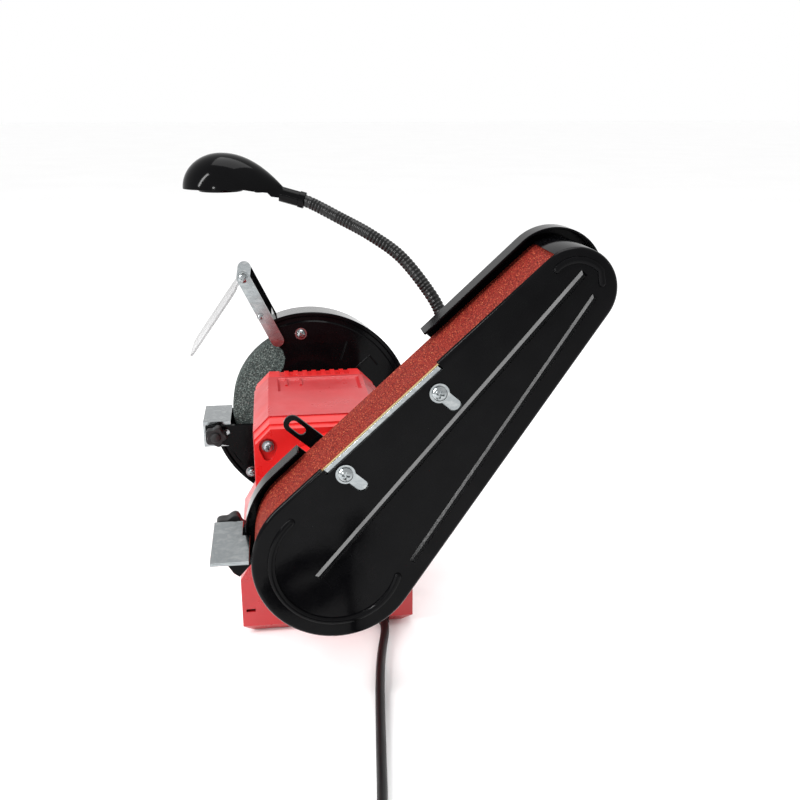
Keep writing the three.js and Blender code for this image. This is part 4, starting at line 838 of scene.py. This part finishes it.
def make_idler():
    at = (CENTRES, 0)
    wheel = turned([(134.6, 5.3), (182, 5.3), (182, 11), (176, 12), (176, 19), (182, 19.4),
                    (183, 20.2), (183, 22.5), (158.8, 23), (135.4, 22.5), (134.6, 21.6)], at, 72)
    finish("idler_roller", moved(wheel, ARM), "idler", NYLON, "idler_wheel", edge=0.4)
    axle = turned([(129.8, 0), (129.8, 5), (133.1, 5), (133.1, 8), (134.2, 8), (134.2, 5), (183.4, 5),
                   (184, 4.4), (184, 0)], at, 40)
    finish("idler_pin", moved(axle, ARM), "idler_slide", STEEL, "idler_axle", edge=0.2)
    bar = slab(rounded(162, CENTRES + 8, -11, 11, 3), 129.8, 132.8,
               [round_hole(at, 5.3), round_hole((196, 0), PIN_BORE_R)])
    lug = block((132, 162, -12), (144, 165, 2))
    finish("idler_slide_bar", moved(joined(bar, lug), ARM), "idler_slide", ZINC,
           "idler_carriage", edge=0.35)

    turns, length, radius = 9, 28, 4.1
    coil = [(138 + radius * math.cos(a), 133.4 + length * i / (turns * 20), -5 + radius * math.sin(a))
            for i, a in ((i, 2 * math.pi * i / 20) for i in range(turns * 20 + 1))]
    spring = moved(tube_mesh(coil, 0.7, sides=2), ARM)
    spring = finish("belt_tension_spring", spring, None, STEEL, "tension_spring")
    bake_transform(spring)
    knob = star_knob(TRAY_X - 0.3, -1, (196, 0), 13, 132.8)
    finish("tracking_star_knob", moved(knob, ARM), "tracking", NYLON, "tracking_knob",
           edge=0.8, segments=3)


def make_belt_rest():
    knob = (-68, 109)
    outline = [(121.8, -79.3), (184, -79.3), (184, -54.5), (145, -54.5), (145, -59.3), (121.8, -59.3)]
    # drawn in X and Y, stood up from a slab along X
    stand_up = Matrix(((0, 1, 0, 0), (0, 0, 1, 0), (1, 0, 0, 0), (0, 0, 0, 1)))
    plate = moved(slab(outline, 115.8, 118), stand_up)
    flange = slab([(-79.3, 93), (-59.3, 93), (-59.3, 117), (-79.3, 117)], 121.8, 124,
                  [round_hole(knob, PIN_BORE_R)])
    finish("belt_tool_rest", grown(plate, flange), "belt_work_rest", ZINC, "belt_rest", edge=0.7)
    gusset = [(-79, 98), (-79, 115.3), (-44, 115.3), (-44, 92), (-54, 88), (-64, 77), (-68, 80)]
    plate = slab(gusset, 124.3, 126.3, [capsule((-73, 109), (-64, 109), 3.5)])
    foot = block((125.3, -52, 96), (127.7, -44.5, 112))
    finish("belt_rest_strap", joined(plate, foot), "belt_arm", POWDER_COAT,
           "belt_rest_bracket", edge=0.35)
    finish("belt_rest_star_knob", star_knob(121.5, -1, knob, 12, 126.3), "belt_rest_clamp", NYLON,
           "belt_rest_knob", edge=0.8, segments=3)


# ---------------------------------------------------------------- lamp
NECK_ROOT = (0, 71.15, 64.69)
NECK_LOWER = [(0, 81, 72), (0, 88, 88), (0, 94, 115), (-1, 99, 145), (-3, 104, 175)]
BALL_A = (-8, 106.5, 205)
NECK_MIDDLE = [(-15, 102.5, 228), (-23, 93.5, 246), (-40, 73, 272)]
BALL_B = (-57, 49.5, 288.5)
NECK_UPPER = [(-76, 25, 300.8), (-90, 3, 311.5), (-95.5, -9, 315.3)]
NECK_TIP = (-97, -17, 317.5)


def make_neck():
    through = [NECK_ROOT, *NECK_LOWER, BALL_A, *NECK_MIDDLE, BALL_B, *NECK_UPPER, NECK_TIP]
    line = smooth_path(through, 0.8)
    ribs = (1.0, 0.97, 0.88, 0.97)  # one rib of the wound hose every 3.2 mm
    joints = [min(range(len(line)), key=lambda i: (line[i] - Vector(p)).length)
              for p in (NECK_ROOT, BALL_A, BALL_B, NECK_TIP)]
    cuts = [0, *[round((a + b) / 2) for a, b in zip(joints, joints[1:])], len(line) - 1]
    pieces = [("foot", "stand", "neck_lower", "neck_lower"),
              ("lower_bend", "neck_lower", "neck_middle", "neck_middle"),
              ("upper_bend", "neck_middle", "neck_upper", "neck_upper"),
              ("head_end", "neck_upper", "lamp", ())]
    for i, (name, below, above, stands_for) in enumerate(pieces):
        first, last = cuts[i], cuts[i + 1]
        widths = [ribs[k % 4] for k in range(first, last + 1)]
        bm = tube_mesh(line[first:last + 1], 5.3, widths, sides=6)
        piece = finish(f"gooseneck_{name}", bm, None, HOSE_LACQUER, stands_for,
                       sharp=60)
        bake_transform(piece)

    slope = Vector((0, 0.8575, 0.5145))
    turn = Vector((1, 0, 0)).rotation_difference(slope).to_matrix().to_4x4()
    place = Matrix.Translation(NECK_ROOT) @ turn
    socket = turned([(-12.7, 0), (-12.7, 9), (-8, 9), (-6.5, 8.2), (-3, 6.8), (1, 6.2), (2, 5.4),
                     (2, 0)], (0, 0), 48)
    finish("lamp_foot", moved(socket, place), "stand", NYLON, "lamp_socket", edge=0.4)


def make_lamp():
    nose, crown, tail = -105, -72, -19.8  # along Y
    middle, half_width = -105, 27.5  # along X
    bottom, top = 324.2, 353.2
    dome = bmesh.new()
    bmesh.ops.create_uvsphere(dome, u_segments=64, v_segments=48, radius=1)
    bmesh.ops.bisect_plane(dome, geom=[*dome.verts, *dome.edges, *dome.faces], plane_co=(0, 0, 0),
                           plane_no=(0, 0, -1), clear_outer=True)
    bmesh.ops.holes_fill(dome, edges=dome.edges, sides=0)
    for vertex in dome.verts:
        x, y, z = vertex.co
        t = min(max(y, 0.0), 0.9999)
        taper = (1 - t ** 2.1) / math.sqrt(1 - t * t)  # behind the crown it falls like a drop's tail
        vertex.co = (middle + half_width * x * taper + 7 * t * t,
                     crown + y * ((tail - crown) if y > 0 else (crown - nose)),
                     bottom + (top - bottom) * z * taper)

    def upright(profile, at, z):
        """A turned shape stood up along Z."""
        up = Matrix.Translation((*at, z)) @ Matrix.Rotation(-math.pi / 2, 4, "Y")
        return facing_out(moved(turned(profile, (0, 0), 64), up))

    lens_at, button_at = (-105, -73), (-105, -41)
    hole = upright([(-9, 0), (-9, 4.5), (3, 4.5), (3, 0)], button_at, bottom)
    bezel = upright([(-2.6, 17.2), (-2.6, 18.4), (-1.6, 19.2), (3, 19.2), (3, 17.2)], lens_at, bottom)
    # stepped keel under the tail, which carries the cuff of the neck
    keel = slab([(-58, 325), (-57, 323.4), (-46, 321.6), (-34, 320.4), (-31, 317.2), (-20, 315.6),
                 (-17, 318), (-22, 325.5)], -109, -93)
    slope = (Vector(NECK_UPPER[-1]) - Vector(NECK_TIP)).normalized()
    turn = Vector((1, 0, 0)).rotation_difference(slope).to_matrix().to_4x4()
    place = Matrix.Translation(NECK_TIP) @ turn
    cuff = turned([(-6, 0), (-6, 6.4), (10, 6.4), (10.4, 7), (15, 7), (15.6, 6.4), (15.6, 0)],
                  (0, 0), 48)
    finish("lamp_shell", joined(dome, bezel, cut(keel, hole), moved(cuff, place)), "lamp", POLISHED_ABS,
           "lamp_head", edge=0.5, segments=3, sharp=40)
    lens = upright([(-2.4, 0), (-2.4, 15.5), (-1.8, 16.6), (0.2, 16.6), (0.2, 0)], lens_at, bottom)
    finish("lamp_window", lens, "lamp", DIFFUSER, "lamp_lens", edge=0.2)
    button = upright([(-4.3, 0), (-4.3, 3.4), (-3.7, 4.1), (-1.7, 4.1), (-1.7, 0)], button_at, bottom)
    finish("lamp_push_button", button, "lamp_button", NYLON, "lamp_switch", edge=0.3)


# ---------------------------------------------------------------- the whole
CARRIED_OVER = {
    "bottom_plate": STEEL, "capacitor": ALUMINIUM, "stator_core": STEEL, "stator_winding": COPPER,
    "rotor_core": STEEL, "bearing_right": STEEL, "bearing_left": STEEL, "tray_retainer": STEEL,
}


def dress_nodes():
    """The CAD nodes that stay get their real finish."""
    for name, material in CARRIED_OVER.items():
        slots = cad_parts[name].data.materials
        slots.clear()
        slots.append(material)


def make_stage():
    bm = bmesh.new()
    bmesh.ops.create_grid(bm, x_segments=2, y_segments=2, size=20)
    bmesh.ops.translate(bm, vec=(0, 0, FLOOR_Z * MM), verts=bm.verts)
    mesh = bpy.data.meshes.new("floor")
    bm.to_mesh(mesh)
    bm.free()
    mesh.materials.append(FLOOR)
    floor = bpy.data.objects.new("floor", mesh)
    bpy.context.scene.collection.objects.link(floor)
    world = bpy.data.worlds.new("studio")
    world.use_nodes = True
    world.node_tree.nodes["Background"].inputs["Color"].default_value = colour("ffffff")
    world.node_tree.nodes["Background"].inputs["Strength"].default_value = 1.0
    bpy.context.scene.world = world
    # a long strip beside the arm, a soft ceiling and a small lamp near the camera
    along = ARM.to_3x3() @ Vector((0, 1, 0))
    area_light("strip_along_arm", (0.58, -0.98, 0.86), (0.19, 0.06, 0.2), 0.12, 0.95, 18, along)
    area_light("ceiling_softbox", (-0.2, 0.1, 1.7), (0, 0, 0.15), 1.0, 1.0, 14)
    area_light("camera_lamp", (1.25, -0.55, 0.42), (0, 0, 0.2), 0.1, 0.1, 2.2)
    bpy.context.scene.view_settings.view_transform = "Standard"


place_camera()
make_cord()
make_stage()
make_base()
make_motor()
make_shaft()
make_guard()
make_shield()
make_wheel_rest()
make_tray()
make_cover()
make_platen()
make_belt()
make_idler()
make_belt_rest()
make_neck()
make_lamp()
dress_nodes()
